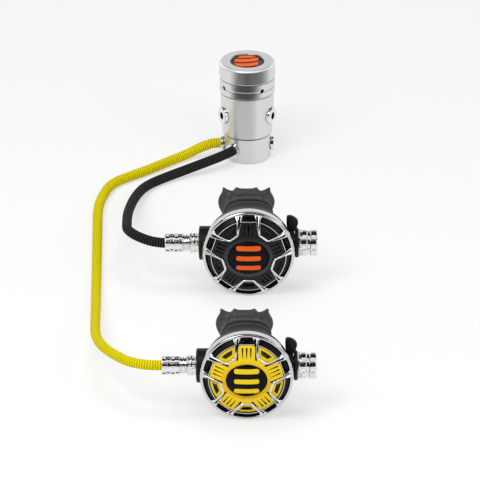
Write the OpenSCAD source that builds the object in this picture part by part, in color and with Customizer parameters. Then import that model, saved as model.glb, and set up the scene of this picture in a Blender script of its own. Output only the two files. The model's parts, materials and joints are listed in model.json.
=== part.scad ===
// Scuba regulator set: one cylindrical diaphragm first stage with a swivel turret and DIN inlet,
// and two second stages on low-pressure hoses, standing and lying on a table.
// Millimetres, +Z up. The origin is the centre of the turret's bottom face.

/* [First stage] */
// Height of the turret
turret_h = 23.2; // [22.8:0.1:23.2]
// Radius of the turret
turret_r = 20.5; // [20:0.1:21]
// Height above the table of the low-pressure ports
lp_port_z = 12; // [11.5:0.1:12.5]
// Radius of the body at its foot
body_foot_r = 21.5; // [21:0.1:22]
// Radius of the body at its top
body_top_r = 23.1; // [22.8:0.1:23.4]
// Height above the table of the top of the body
body_top_z = 62; // [61.9:0.1:62.1]
// Height above the table of the inlet and the high-pressure ports
inlet_z = 42; // [41:0.5:43]
// Radius of the spring carrier's band
carrier_r = 23.9; // [23.5:0.1:24.2]
// Radius of the end cap
cap_r = 24.2; // [23.9:0.1:24.6]
// Height above the table of the end cap's top
cap_top_z = 89.5; // [88.6:0.1:90]

/* [DIN inlet] */
// Outer radius of the G5/8 thread
din_thread_r = 11.45; // [11.4:0.05:11.5]
// Radius of the hand wheel
din_wheel_r = 21.5; // [19:0.5:21.5]

/* [Second stages] */
// Outer radius of the cover ring
ring_r = 39; // [38.8:0.1:39]
// Height above the table of the valve barrel's axis
stage_z = 39; // [39:0.1:40]
// Distance of the valve barrel's axis behind the front of the ring
barrel_d = 24; // [23.8:0.1:24.2]
// Half the width of a spoke of the cover, out to the middle of its bright edge
spoke_half = 9; // [8.6:0.1:9.2]
// Half the width of the purge button
button_a = 17.2; // [17:0.1:17.4]
// Half the height of the purge button
button_b = 14.3; // [14.1:0.1:14.5]
// Radius of the adjusting knob
knob_r = 11.4; // [11:0.1:11.8]
// Where the primary second stage stands, left to right and front to back
primary_at = [1, -294];
// Where the octopus second stage stands, left to right and front to back
octopus_at = [-0.7, -542.5];

/* [Hoses] */
// Outer diameter of both low-pressure hoses
hose_d = 8.4; // [8.2:0.1:8.8]

/* [Hidden] */
$fn = 96;
eps = 0.01;
fit = 0.05;
gap = 0.3;
wall = 2.2;
body_foot_z = turret_h + gap;

// Compass angles of the ports round the turret and the body: 0 faces the front, positive is right.
octopus_port = -90;
primary_port = -36;
plugged_lp_ports = [90, 135, -135];
high_pressure_ports = [65, -65];
fitting_end_r = 22.7;
port_r = 4.3;
port_thread_l = 7.6;
port_floor_r = turret_r - port_thread_l - gap;
port_drill_r = 2;

// First-stage inner heights.
bolt_r = 7 - fit;
bolt_thread_r = 6.45;
bolt_top_z = 29.6;
poppet_floor_z = 36;
seat_z = 50;
ip_floor_z = 54;
diaphragm_z = 60.3;
carrier_z = body_top_z + 0.2;
carrier_top_z = 75.6;
spanner_z = 69.4;
boot_z = 88;

// DIN connector, measured back from the body's axis.
boss_end_y = 27;
wheel_y = 31;
thread_y = 44;
thread_end_y = 57.5;
din_end_y = 62;
stem_r = 5;

// Second-stage stations along X, seen from the front, and along Y behind the ring's front.
boss_end_x = 42.7;
nut_x = -49.6;
ferrule_x = -55.2;
hose_end_x = -71;
venturi_x = 39.2;
knob_x = 43.9;
knob_end_x = 58.6;
orifice_x = -14.3;
lever_x = 18;
lever_y = 15.2;
ring_depth = 9;
case_seat_y = 8.4;
back_y = 42;
neck_end_y = 52;
spigot_end_y = 62;
mouth_z = 9;
exhaust_y = 40.3;
exhaust_z = -32.5;
exhaust_h = 27.5;
window_r = 21.8;
spokes = [18, 90, 162, 234, 306];

// Hose routes: points along each hose's centre, from the turret to the second stage.
primary_route = [
    [-13.4, -18.45, 12], [-14.4, -19.8, 12], [-24, -28.6, 11.2], [-34, -34.6, 9.6],
    [-44.4, -40.2, 7.8], [-55, -46.7, 6.3], [-66, -54.2, 5.2], [-76, -63, 4.8],
    [-84.3, -73.4, 5.2], [-90, -86, 6.6], [-93.8, -101, 9], [-96.7, -118, 12.2],
    [-98.9, -137.5, 16.4], [-100.6, -158.3, 21], [-101.8, -179, 26], [-102.4, -200, 31],
    [-102.5, -221, 36], [-102.4, -239.4, 39.8], [-101.4, -247.4, 41], [-98.4, -254.8, 41.5],
    [-93.6, -261.1, 41.3], [-87.3, -265.9, 40.6], [-80, -269, 39.7], [-72.5, -270, 39],
    [-70.1, -270, 39]
];
octopus_route = [
    [-22.8, 0, 12], [-24.5, 0, 12], [-31.7, -0.5, 11.2], [-41.4, -2.8, 8.2],
    [-50.2, -7.6, 5.6], [-59.3, -15, 4.6], [-68.2, -23.6, 4.6], [-78.5, -34, 4.6],
    [-90.2, -45.2, 4.6], [-102, -55.6, 4.6], [-111.6, -65, 4.6], [-118.6, -76.6, 4.6],
    [-123.4, -93.5, 4.6], [-126.9, -113, 4.6], [-128.2, -136, 4.6], [-128.2, -162, 4.6],
    [-128.2, -188, 4.6], [-128.2, -214, 4.6], [-128.2, -239, 4.6], [-128.2, -263, 4.9],
    [-128.2, -290, 6], [-128.2, -317, 8], [-128.2, -344, 10.8], [-128.2, -370, 14.3],
    [-128.2, -395, 18.4], [-127.8, -415.7, 22], [-126.2, -435, 25.5], [-123.6, -451, 28.4],
    [-120, -465.5, 31], [-114.9, -480, 33.6], [-108.2, -494.6, 36], [-101.2, -505.4, 37.4],
    [-93.2, -512.8, 38.4], [-83.8, -517.2, 38.9], [-74, -518.5, 39], [-71.8, -518.5, 39]
];

steel = [0.80, 0.81, 0.83];
brass = [0.80, 0.68, 0.38];
black = [0.12, 0.12, 0.13];
rubber = [0.18, 0.18, 0.19];
silicone = [0.85, 0.85, 0.82];
yellow = [0.95, 0.78, 0.12];
orange = [0.93, 0.38, 0.10];

// ---- helpers ----

function unit(v) = v / norm(v);
function tangent(path, i) = unit(path[min(i + 1, len(path) - 1)] - path[max(i - 1, 0)]);

// A round tube of radius r swept along path as one closed solid with the given number of sides.
module swept_tube(path, r, sides) {
    last = len(path) - 1;
    points = [
        for (i = [0:last])
            let (t = tangent(path, i), side = unit(cross(t, [0, 0, 1])), up = cross(side, t))
            for (j = [0:sides - 1])
                path[i] + r * (cos(360 * j / sides) * side + sin(360 * j / sides) * up)
    ];
    start_cap = [[for (j = [sides - 1:-1:0]) j]];
    end_cap = [[for (j = [0:sides - 1]) last * sides + j]];
    skin = [
        for (i = [0:last - 1], j = [0:sides - 1])
            let (a = i * sides, b = a + sides, k = (j + 1) % sides)
            [a + j, a + k, b + k, b + j]
    ];
    polyhedron(points, concat(start_cap, skin, end_cap));
}

// A helical spring about Z, from z0 to z1, with a steady pitch.
module coil_spring(coil_r, wire_r, z0, z1, turns) {
    steps = 10;
    rise = z1 - z0 - 2 * wire_r;
    path = [
        for (i = [0:turns * steps])
            let (a = 360 * i / steps, z = z0 + wire_r + rise * i / (turns * steps))
            [coil_r * cos(a), coil_r * sin(a), z]
    ];
    swept_tube(path, wire_r, 6);
}

// Children, drawn along Z, laid along X from x, or along Y from y.
module along_x(x = 0) { translate([x, 0, 0]) rotate([0, 90, 0]) children(); }
module along_y(y = 0) { translate([0, y, 0]) rotate([-90, 0, 0]) children(); }

module tube(r_out, r_in, h) {
    difference() {
        cylinder(r = r_out, h = h);
        translate([0, 0, -1]) cylinder(r = r_in, h = h + 2);
    }
}

// Children, drawn along Z, turned to point outward at a compass angle and a height.
module at_port(angle, z) {
    translate([0, 0, z]) rotate([0, 0, angle]) rotate([90, 0, 0]) children();
}

// A stadium w wide and h tall, centred, with round ends.
module stadium(w, h) {
    r = min(w, h) / 2;
    wide = max(w - h, 0);
    tall = max(h - w, 0);
    square([wide + (wide > 0 ? 0 : eps), tall + 2 * r * (wide > 0 ? 1 : 0) + eps], center = true);
    for (s = [-1, 1]) translate([s * wide / 2, s * tall / 2]) circle(r = r);
}

// A stadium prism round the mouthpiece's axis, from y0 to y1.
module mouth_prism(w, h, y0, y1) {
    translate([0, y0, mouth_z]) rotate([-90, 0, 0]) linear_extrude(y1 - y0) stadium(w, h);
}

function oval_points(a, b) = [for (t = [0:7.5:352.5]) [a * cos(t), b * sin(t)]];

// An oval prism about Y, from y0 to y1.
module oval_prism(a, b, y0, y1) {
    translate([0, y1, 0]) rotate([90, 0, 0]) linear_extrude(y1 - y0) polygon(oval_points(a, b));
}

// Everything on one second stage is drawn about its ring's centre and then moved to its place.
module in_stage(at) { translate([at[0], at[1], stage_z]) children(); }

// ---- first stage ----

module turret() {
    color(steel) difference() {
        rotate_extrude() polygon([
            [9.8, 0], [turret_r - 1.6, 0], [turret_r, 1.6], [turret_r, turret_h - 0.6],
            [turret_r - 0.6, turret_h], [7, turret_h], [7, 14.5], [9, 14.5], [9, 9.5], [7, 9.5],
            [7, 5.9], [9.8, 5.9]
        ]);
        for (angle = concat(plugged_lp_ports, [octopus_port, primary_port]))
            at_port(angle, lp_port_z) {
                translate([0, 0, port_floor_r]) cylinder(r = port_r + fit, h = 20);
                translate([0, 0, 8]) cylinder(r = port_drill_r, h = 10);
            }
    }
}

module port_plug(r_face, head_r, thread_r, thread_l, head_h, key_r) {
    difference() {
        union() {
            translate([0, 0, r_face - thread_l]) cylinder(r = thread_r, h = thread_l + eps);
            translate([0, 0, r_face]) cylinder(r = head_r, h = head_h - 0.5);
            translate([0, 0, r_face + head_h - 0.5])
                cylinder(r1 = head_r, r2 = head_r - 0.5, h = 0.5);
        }
        translate([0, 0, r_face + head_h - 2.4]) cylinder(r = key_r, h = 5, $fn = 6);
    }
}

module lp_port_plugs() {
    color(steel) for (angle = plugged_lp_ports)
        at_port(angle, lp_port_z) port_plug(turret_r, 6, port_r, port_thread_l, 2.6, 2.9);
}

module hose_fittings() {
    rim = 0.9;
    color(steel) for (angle = [octopus_port, primary_port])
        at_port(angle, lp_port_z) difference() {
            union() {
                translate([0, 0, turret_r - port_thread_l])
                    cylinder(r = port_r, h = port_thread_l + eps);
                translate([0, 0, turret_r]) cylinder(r = 6.2, h = rim);
                translate([0, 0, turret_r]) cylinder(r = 5, h = fitting_end_r - turret_r);
                translate([0, 0, fitting_end_r - rim]) cylinder(r = 5.9, h = rim);
            }
            translate([0, 0, turret_r - 10]) cylinder(r = 2.2, h = 20);
        }
}

module first_stage_body() {
    color(steel) difference() {
        union() {
            rotate_extrude() polygon([
                [0, body_foot_z], [body_foot_r - 0.6, body_foot_z], [body_foot_r, body_foot_z + 0.8],
                [body_top_r, body_top_z - 8], [body_top_r, body_top_z - 0.5],
                [body_top_r - 0.5, body_top_z], [0, body_top_z]
            ]);
            translate([0, 0, inlet_z]) along_y(8) cylinder(r = 12.5, h = boss_end_y - 8);
        }
        translate([0, 0, body_foot_z - 1]) cylinder(r = bolt_thread_r + fit, h = 32.5 - body_foot_z + 1);
        translate([0, 0, poppet_floor_z]) cylinder(r = 6, h = seat_z - poppet_floor_z);
        translate([0, 0, seat_z - 1]) cylinder(r = 2.6, h = 10);
        translate([0, 0, ip_floor_z]) cylinder(r = 14, h = 20);
        translate([0, 0, diaphragm_z - 0.1]) cylinder(r = 18.4, h = 20);
        // Intermediate-pressure drilling from the diaphragm chamber down to the turret bolt.
        translate([0, -11, 31.5]) cylinder(r = 1.2, h = 30);
        translate([0, 0, 31.5]) along_y(-12) cylinder(r = 0.9, h = 12);
        // Inlet bore and the connector's pocket.
        translate([0, 0, inlet_z]) along_y(0) cylinder(r = 3, h = 20);
        translate([0, 0, inlet_z]) along_y(14) cylinder(r = 8, h = 20);
        for (angle = high_pressure_ports) at_port(angle, inlet_z) {
            translate([0, 0, 11]) cylinder(r = 5.5 + fit, h = 20);
            cylinder(r = 1.2, h = 20);
            translate([0, 0, 21.4]) cylinder(r = 8, h = 10);
        }
    }
}

module high_pressure_plugs() {
    color(steel) for (angle = high_pressure_ports)
        at_port(angle, inlet_z) port_plug(21.45, 7.4, 5.5, 9.5, 3, 3.4);
}

module turret_bolt() {
    color(brass) difference() {
        union() {
            translate([0, 0, 0.8]) cylinder(r = 9.5, h = 4.8);
            cylinder_between(bolt_r, 5.6 - eps, body_foot_z);
            cylinder_between(bolt_thread_r, body_foot_z - eps, bolt_top_z);
        }
        translate([0, 0, -1]) cylinder(r = 4.6, h = 5, $fn = 6);
        cylinder_between(3, 8, 40);
        for (angle = [0, 90]) rotate([0, 0, angle])
            translate([0, 0, lp_port_z]) along_y(-10) cylinder(r = 1.6, h = 20);
        for (z = [6.5, 16]) translate([0, 0, z]) tube(10, 5.2, 2.2);
    }
}

module cylinder_between(r, z0, z1) { translate([0, 0, z0]) cylinder(r = r, h = z1 - z0); }

module ring_seal(ring_radius, cord_r) {
    rotate_extrude() translate([ring_radius, 0]) circle(r = cord_r, $fn = 24);
}

module o_rings() {
    color(black) {
        for (z = [7.6, 17.1]) translate([0, 0, z]) ring_seal(6.08, 0.82);
        translate([0, 0, inlet_z]) along_y(61.2) ring_seal(6, 0.8);
    }
}

module spring_carrier() {
    color(steel) difference() {
        rotate_extrude() polygon([
            [13.5, carrier_z], [carrier_r - 0.6, carrier_z], [carrier_r, carrier_z + 0.6],
            [carrier_r, 67.6], [carrier_r - 0.7, 67.9], [carrier_r - 0.7, 68.6],
            [carrier_r, 68.9], [carrier_r, carrier_top_z - 0.3],
            [16.4, carrier_top_z - 0.3], [16.4, 79], [13.5, 79]
        ]);
        for (angle = [33, 123, 213, 303])
            at_port(angle, spanner_z) translate([0, 0, 19]) cylinder(r = 1.85, h = 10);
    }
}

module spring_adjuster() {
    color(brass) difference() {
        cylinder_between(13.4, 73.3, 78);
        translate([0, 0, 72]) cylinder(r = 5.5, h = 8, $fn = 6);
    }
}

module main_spring() {
    color(steel) coil_spring(10.4, 1, 64.2, 73.2, 2.8);
}

module main_diaphragm() {
    color(black) rotate_extrude() polygon([
        [0, diaphragm_z], [18, diaphragm_z], [18, 61.9], [12.5, 61.9], [12.2, 64.1], [0, 64.1]
    ]);
}

module end_cap() {
    color(steel) rotate_extrude() polygon([
        [16.5, carrier_top_z], [cap_r - 0.5, carrier_top_z], [cap_r, carrier_top_z + 0.5],
        [cap_r, cap_top_z - 1.6], [cap_r - 1.6, cap_top_z], [15.2, cap_top_z],
        [14.6, cap_top_z - 0.6], [14.6, 84.5], [16.5, 84.5]
    ]);
}

module pressure_boot() {
    color(rubber) rotate_extrude() polygon([
        [0, 84.6], [13, 84.6], [13, 81], [16.3, 81], [16.3, 84.4], [14.4, 84.4],
        [14.4, cap_top_z - 0.3], [13.6, cap_top_z - 0.3], [12.9, boot_z], [0, boot_z]
    ]);
}

// Three curved bars lying one behind the other on the boot, the last cut short by its rim.
module boot_inlays() {
    bend_r = 26;
    bar_half = 2.8;
    bar_h = 1;
    color(orange) for (y = [-7.6, 1.6, 10.2])
        intersection() {
            translate([-4, y + bend_r, boot_z]) tube(bend_r + bar_half, bend_r - bar_half, bar_h);
            translate([-11, y - 4, boot_z - 1]) cube([20.5, 14, 4]);
            cylinder_between(12.4, boot_z, boot_z + bar_h);
        }
}

module inlet_poppet() {
    color(black) {
        cylinder_between(2.4, 38, 46);
        cylinder_between(4.4, 46 - eps, seat_z - fit);
        cylinder_between(1.2, seat_z - 1, 56);
    }
}

module valve_lifter() {
    color(brass) {
        cylinder_between(1.3, 56.1, 59);
        cylinder_between(10, 58.9, 60.1);
    }
}

module inlet_spring() {
    color(steel) coil_spring(3.6, 0.5, 36.3, 45.7, 5);
}

module din_connector() {
    color(steel) translate([0, 0, inlet_z]) difference() {
        union() {
            along_y(16) cylinder(r = 7.95, h = boss_end_y - 16 + eps);
            along_y(boss_end_y) cylinder(r = 11, h = 3.7);
            along_y(30) cylinder(r = stem_r, h = 28);
            along_y(thread_end_y + gap) cylinder(r = 8.5, h = din_end_y - thread_end_y - gap);
        }
        along_y(10) cylinder(r = 2.6, h = 60);
        along_y(56) cylinder(r = 4, h = 10);
        along_y(60.35) tube(7, 5, 4);
    }
}

module inlet_filter() {
    color(brass) translate([0, 0, inlet_z]) {
        along_y(56 + fit) cylinder(r = 3.95, h = 2.5);
        along_y(58.5) cylinder(r1 = 3, r2 = 1.2, h = 2.4);
    }
}

module din_wheel() {
    grips = 9;
    color(rubber) translate([0, 0, inlet_z]) difference() {
        union() {
            along_y(wheel_y) cylinder(r1 = din_wheel_r - 1.5, r2 = din_wheel_r, h = 1.5);
            along_y(wheel_y + 1.5) cylinder(r = din_wheel_r, h = 9.5);
            along_y(wheel_y + 11) cylinder(r1 = din_wheel_r, r2 = din_wheel_r - 1.5, h = 1.5);
            along_y(wheel_y + 12) cylinder(r = 13, h = thread_y - wheel_y - 12);
            along_y(thread_y - eps) cylinder(r = din_thread_r, h = thread_end_y - thread_y + eps);
        }
        along_y(wheel_y - 1) cylinder(r = stem_r + fit, h = 40);
        for (i = [1:grips]) rotate([0, 360 * i / grips, 0])
            translate([din_wheel_r + 3.2, 0, 0]) along_y(wheel_y - 1) cylinder(r = 5, h = 15, $fn = 48);
    }
}

// ---- hoses ----

module primary_hose() { color(black) swept_tube(primary_route, hose_d / 2, 10); }

module octopus_hose() { color(yellow) swept_tube(octopus_route, hose_d / 2, 10); }

module hose_ferrule() {
    rows = 4;
    pads = 8;
    difference() {
        union() {
            along_x(hose_end_x) cylinder(r = 8, h = ferrule_x - hose_end_x);
            along_x(ferrule_x - eps) cylinder(r = 6.4, h = nut_x - ferrule_x - gap);
            for (x = [-54.4, -52.2]) along_x(x) cylinder(r = 8, h = 1.2);
            along_x(nut_x - 0.5) cylinder(r = stem_r, h = 7);
            along_x(-43.2) cylinder(r = 3, h = 7);
        }
        along_x(hose_end_x - 1) cylinder(r = 1.8, h = 40);
        for (row = [1:rows - 1]) along_x(hose_end_x + row * 3.95 - 0.4) tube(10, 7.3, 0.8);
        for (pad = [1:pads]) rotate([360 * pad / pads, 0, 0])
            translate([hose_end_x - 1, 0, 8.1]) along_x() cylinder(r = 0.8, h = 17.5, $fn = 4);
    }
}

module hose_ferrules() {
    color(steel) {
        in_stage(primary_at) translate([0, barrel_d, 0]) hose_ferrule();
        in_stage(octopus_at) translate([0, barrel_d, 0]) hose_ferrule();
    }
}

// ---- second stage ----

// The front face of the cover is a shallow dome; depth y of its surface at radius r.
function dome_y(r) = -7.8 + 8.2 * pow(r / 36, 3.5);

// A shell of revolution about Y that follows the dome, from y offset y0 to y offset y1.
module dome_shell(r0, r1, y0, y1) {
    n = 8;
    radii = [for (i = [0:n]) r0 + (r1 - r0) * i / n];
    rotate([-90, 0, 0]) rotate_extrude() polygon(concat(
        [for (r = radii) [r, dome_y(r) + y0]],
        [for (i = [n:-1:0]) [radii[i], dome_y(radii[i]) + y1]]
    ));
}

// Children, drawn flat in X and Z, as a prism along Y from the cover's front back to y.
module into_cover(y) { translate([0, y, 0]) rotate([90, 0, 0]) linear_extrude(y + 15) children(); }
module through_cover() { into_cover(15) children(); }

// The space between two spokes: h is the spokes' half width and r_in the distance of the inner flat.
function side_v(u, h) = (u * sin(36) - h) / cos(36);
module between_spokes(h, r_in) {
    polygon([
        [r_in, -side_v(r_in, h)], [40, -side_v(40, h)], [40, side_v(40, h)],
        [r_in, side_v(r_in, h)]
    ]);
}

module each_window() { for (a = spokes) rotate(a + 36) children(); }
module each_spoke() { for (a = spokes) rotate(a) children(); }

// A wedge that widens each frame toward the rim, on both sides of every spoke, grown by more.
module each_foot(more) {
    each_spoke() for (s = [-1, 1]) polygon([
        [23 - more, s * (spoke_half - 0.6 - more)], [36.8, s * (spoke_half - 4 - more)],
        [36.8, s * spoke_half], [23 - more, s * spoke_half]
    ]);
}

// The narrow slot down the middle of each wedge.
module each_foot_slot() {
    each_spoke() for (s = [-1, 1]) polygon([
        [28.5, s * (spoke_half - 1.2)], [35, s * (spoke_half - 2.6)],
        [35, s * (spoke_half - 1.2)], [28.5, s * (spoke_half - 0.7)]
    ]);
}

module cover_ring() {
    edge = 0.75;
    color(steel) {
        rotate([-90, 0, 0]) rotate_extrude() polygon([
            [36.3, 0.6], [36.8, 0], [37.8, 0], [ring_r - 0.3, 0.5], [ring_r, 1.4],
            [ring_r, ring_depth - 0.8], [ring_r - 0.8, ring_depth], [37.05, ring_depth],
            [37.05, 4.6], [35.7, 4.6], [35.7, 3.4], [36.3, 2.8]
        ]);
        intersection() {
            dome_shell(window_r - 2, 36.6, 0, 1.3);
            through_cover() {
                each_window() difference() {
                    between_spokes(spoke_half - edge, window_r - edge);
                    between_spokes(spoke_half + edge, window_r + edge);
                }
                each_window() intersection() {
                    between_spokes(spoke_half, window_r);
                    difference() { circle(r = 32.3); circle(r = 31.4); }
                }
                each_spoke() translate([30.8, -spoke_half]) square([0.9, 2 * spoke_half]);
                difference() { each_foot(0); each_foot_slot(); }
            }
        }
    }
}

module cover_plate(tint) {
    edge = 0.8;
    guide_r = 5;
    opening = oval_points(button_a + gap, button_b + gap);
    step = oval_points(button_a + 1.4, button_b + 1.4);
    color(tint) difference() {
        union() {
            dome_shell(12, 35.4, 1.35, 3.4);
            rotate([-90, 0, 0]) tube_at(36.9, 31, 4.7, 6.2);
            rotate([-90, 0, 0]) tube_at(35.4, 33.2, 1.9, 4.8);
            intersection() {
                dome_shell(14, 35.4, 0.25, 1.4);
                through_cover() difference() {
                    circle(r = 30.7);
                    each_window() between_spokes(spoke_half - edge, window_r - edge);
                    each_foot(fit);
                }
            }
        }
        into_cover(2) polygon(opening);
        // The opening's edge is stepped back a little.
        into_cover(-6.3) polygon(step);
        through_cover() each_window() intersection() {
            between_spokes(spoke_half + 3, window_r + 3.2);
            circle(r = 28.8);
        }
        into_cover(2) each_spoke() {
            for (v = [-3.4, 0, 3.4])
                polygon([[20, v - 0.25], [28.6, v - 0.8], [28.6, v + 0.8], [20, v + 0.25]]);
            translate([32, -4.6]) square([2.6, 9.2]);
        }
    }
    // Guide for the purge button's stem, carried by an arm behind every spoke.
    color(tint) rotate([-90, 0, 0]) tube_at(guide_r + 2, guide_r + fit, 2.2, 5);
    color(tint) for (a = spokes)
        rotate([0, -a, 0]) translate([guide_r + 1, 2.5, -1.25]) cube([28, 1.5, 2.5]);
}

module tube_at(r_out, r_in, z0, z1) {
    difference() {
        translate([0, 0, z0]) cylinder(r = r_out, h = z1 - z0);
        translate([0, 0, z0 - 1]) cylinder(r = r_in, h = z1 - z0 + 2);
    }
}

// The button's face is part of a large sphere; this is that ball, grown by more.
module button_ball(more) {
    ball_r = 48;
    pole_y = -9.2;
    translate([0, pole_y + ball_r, 0]) sphere(r = ball_r + more, $fn = 200);
}

module purge_button() {
    color(black) {
        intersection() {
            oval_prism(button_a, button_b, -10, -2.6);
            button_ball(0);
        }
        along_y(-3) cylinder(r = 5, h = 10.1);
    }
}

// Three level bars with round ends, following the button's face and a little proud of it.
module purge_bars(tint) {
    color(tint) difference() {
        intersection() {
            for (z = [-8.9, 0, 8.9])
                translate([0, -10, z]) rotate([-90, 0, 0]) linear_extrude(4) stadium(21, 4.6);
            button_ball(0.45);
        }
        button_ball(0.1);
    }
}

module diaphragm() {
    color(silicone) rotate([-90, 0, 0]) rotate_extrude() polygon([
        [15.5, 7.8], [20, 7.8], [22, 9.2], [24, 9.2], [26, 7.8], [34, 7.8], [34, 6.3], [36.8, 6.3],
        [36.8, 8.35], [34.4, 8.35], [34.4, 8.5], [25.5, 8.5], [24, 10], [22, 10], [20.5, 8.6],
        [15.5, 8.6]
    ]);
}

module diaphragm_plate() { color(black) along_y(7.4) cylinder(r = 15.2, h = 1.2); }

// The lever pivots about a pin on the barrel's front; its arm reaches the plate's middle
// and its heel reaches into the barrel, behind the poppet's collar.
module demand_lever() {
    reach = 20;
    drop = 5.2;
    color(steel) {
        translate([lever_x, lever_y, -4.2]) rotate([0, 0, atan2(-drop, -reach)])
            translate([0, -0.4, 2.6]) cube([norm([reach, drop]), 0.8, 3.2]);
        translate([lever_x, lever_y, -5.2]) cylinder(r = 1, h = 10.4, $fn = 24);
        translate([lever_x - 0.5, lever_y, -3.4]) cube([1, 6.2, 6.8]);
        translate([lever_x - reach, lever_y - drop, 0]) along_y(-0.9) cylinder(r = 2, h = 0.8);
    }
}

module valve_barrel() {
    color(brass) translate([0, barrel_d, 0]) difference() {
        union() {
            along_x(-boss_end_x) cylinder(r = 8, h = 2 * boss_end_x);
            // Two ears that carry the lever's pin.
            for (z = [-5.2, 3.6]) translate([lever_x - 2.4, lever_y - barrel_d - 2, z]) cube([4.8, 5, 1.6]);
        }
        along_x(-60) cylinder(r = 3.05, h = 40.5);
        along_x(-30) cylinder(r = 1.6, h = 30);
        along_x(orifice_x - 1.7) tube(5.6, 2.6, 1.8);
        along_x(orifice_x) cylinder(r = 5.6, h = 36 - orifice_x);
        along_x(35) cylinder(r = 4.55, h = 20);
        // Slot for the lever's heel and the window that lets the gas into the case.
        translate([lever_x - 3, -12, -3.6]) cube([6.4, 9, 7.2]);
        translate([-9, 2, -3.5]) cube([12, 12, 7]);
        for (z = [-6, 3]) translate([lever_x, lever_y - barrel_d, z])
            cylinder(r = 1.05, h = 3, $fn = 24);
    }
}

module poppet() {
    color(black) translate([0, barrel_d, 0]) {
        along_x(orifice_x + fit) cylinder(r = 4.6, h = 7);
        along_x(-9) cylinder(r = 1.8, h = 35);
        along_x(lever_x + 0.8) cylinder(r = 4.4, h = 1.6);
    }
}

module poppet_spring() {
    color(steel) translate([0, barrel_d, 0]) along_x(0) coil_spring(3.4, 0.5, 21.7, 33.2, 6);
}

module swivel_nut() {
    color(steel) translate([0, barrel_d, 0]) difference() {
        union() {
            along_x(nut_x) cylinder(r = 9.5, h = 2.6);
            along_x(nut_x + 2.6) cylinder(r = 8.4, h = 0.9);
            along_x(nut_x + 3.5) cylinder(r = 9.5, h = 2.9);
        }
        along_x(nut_x - 1) cylinder(r = stem_r + fit, h = 10);
    }
}

module adjusting_knob() {
    lobes = 8;
    color(steel) translate([0, barrel_d, 0]) difference() {
        union() {
            along_x(33.6) cylinder(r = 4.5, h = 11);
            along_x(knob_x - 0.7) cylinder(r = 7, h = 1);
            along_x(knob_x) cylinder(r = knob_r, h = 6.4);
            along_x(knob_x + 6) cylinder(r = 9.4, h = 3);
            along_x(knob_x + 8.6) cylinder(r = knob_r, h = knob_end_x - knob_x - 9.2);
            along_x(knob_end_x - 0.65) cylinder(r1 = knob_r, r2 = knob_r - 0.6, h = 0.65);
        }
        for (i = [1:lobes]) rotate([360 * i / lobes, 0, 0])
            translate([0, 0, knob_r + 1.1]) along_x(knob_x - 1) cylinder(r = 2.3, h = 20, $fn = 32);
        along_x(knob_end_x - 1) cylinder(r = 6.5, h = 5);
    }
}

module venturi_lever() {
    color(black) translate([0, barrel_d, 0]) difference() {
        union() {
            along_x(venturi_x) cylinder(r = 12.6, h = boss_end_x - venturi_x);
            translate([33.4, -2.6, 13.1]) intersection() {
                cube([8.9, 5.2, 12.6]);
                translate([2.1, 0, 3]) along_y(-1) cylinder(r = 9.9, h = 8);
            }
            translate([venturi_x, -2.6, 8]) cube([3.1, 5.2, 6]);
        }
        along_x(venturi_x - 1) cylinder(r = 8.25, h = 10);
    }
}

// Outer and inner outlines of the case as turned about Y, from the ring back.
function case_outer() = [
    [36.9, case_seat_y], [36.9, 9.2], [37.8, 9.2], [37.8, 13], [36.6, 18], [34.4, 24],
    [31.2, 30], [27, 35.5], [21.5, 40], [18, back_y]
];
function case_inner() = [
    [34.6, case_seat_y - 1], [34.6, 13], [33.6, 17.5], [31.6, 23], [28.6, 28.6],
    [24.8, 33.4], [19.6, 37.8], [16, back_y - wall]
];

module turned_about_y(outline, y_back) {
    rotate([-90, 0, 0]) rotate_extrude()
        polygon(concat([[0, outline[0][1]]], outline, [[0, y_back]]));
}

module case_body() {
    exhaust_seat = 1.6;
    color(black) difference() {
        union() {
            turned_about_y(case_outer(), back_y);
            mouth_prism(38.5, 34, 30, neck_end_y);
            mouth_prism(33.6, 29.4, neck_end_y - 1, spigot_end_y);
            translate([0, barrel_d, 0]) {
                along_x(-boss_end_x) cylinder(r = 14.4, h = 16);
                along_x(26) cylinder(r = 12.7, h = venturi_x - gap - 26);
            }
            translate([0, exhaust_y, exhaust_z]) cylinder(r = 11.5, h = exhaust_h);
        }
        turned_about_y(case_inner(), back_y - wall);
        mouth_prism(28.6, 24.4, 30, spigot_end_y + 1);
        translate([0, barrel_d, 0]) along_x(-50) cylinder(r = 8 + fit, h = 100);
        translate([0, exhaust_y, exhaust_z + exhaust_seat])
            cylinder(r = 9.5, h = exhaust_h - wall);
        translate([0, exhaust_y, exhaust_z - 1]) intersection() {
            cylinder(r = 9.5, h = 4);
            for (a = [0:120:240]) rotate([0, 0, a]) translate([2, 0.9, 0]) spider_gap();
        }
    }
}

// One of the three openings between the arms of the exhaust seat.
module spider_gap() {
    linear_extrude(4) polygon([[0, 0], [12, 0], [12, 10], [0, 14], [-5, 16], [-4.5, 5]]);
}

module exhaust_valve() {
    color(silicone) translate([0, exhaust_y, exhaust_z]) {
        translate([0, 0, -1.3]) cylinder(r = 10.8, h = 1.2);
        cylinder_between(0.9, -1, -0.15);
    }
}

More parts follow.
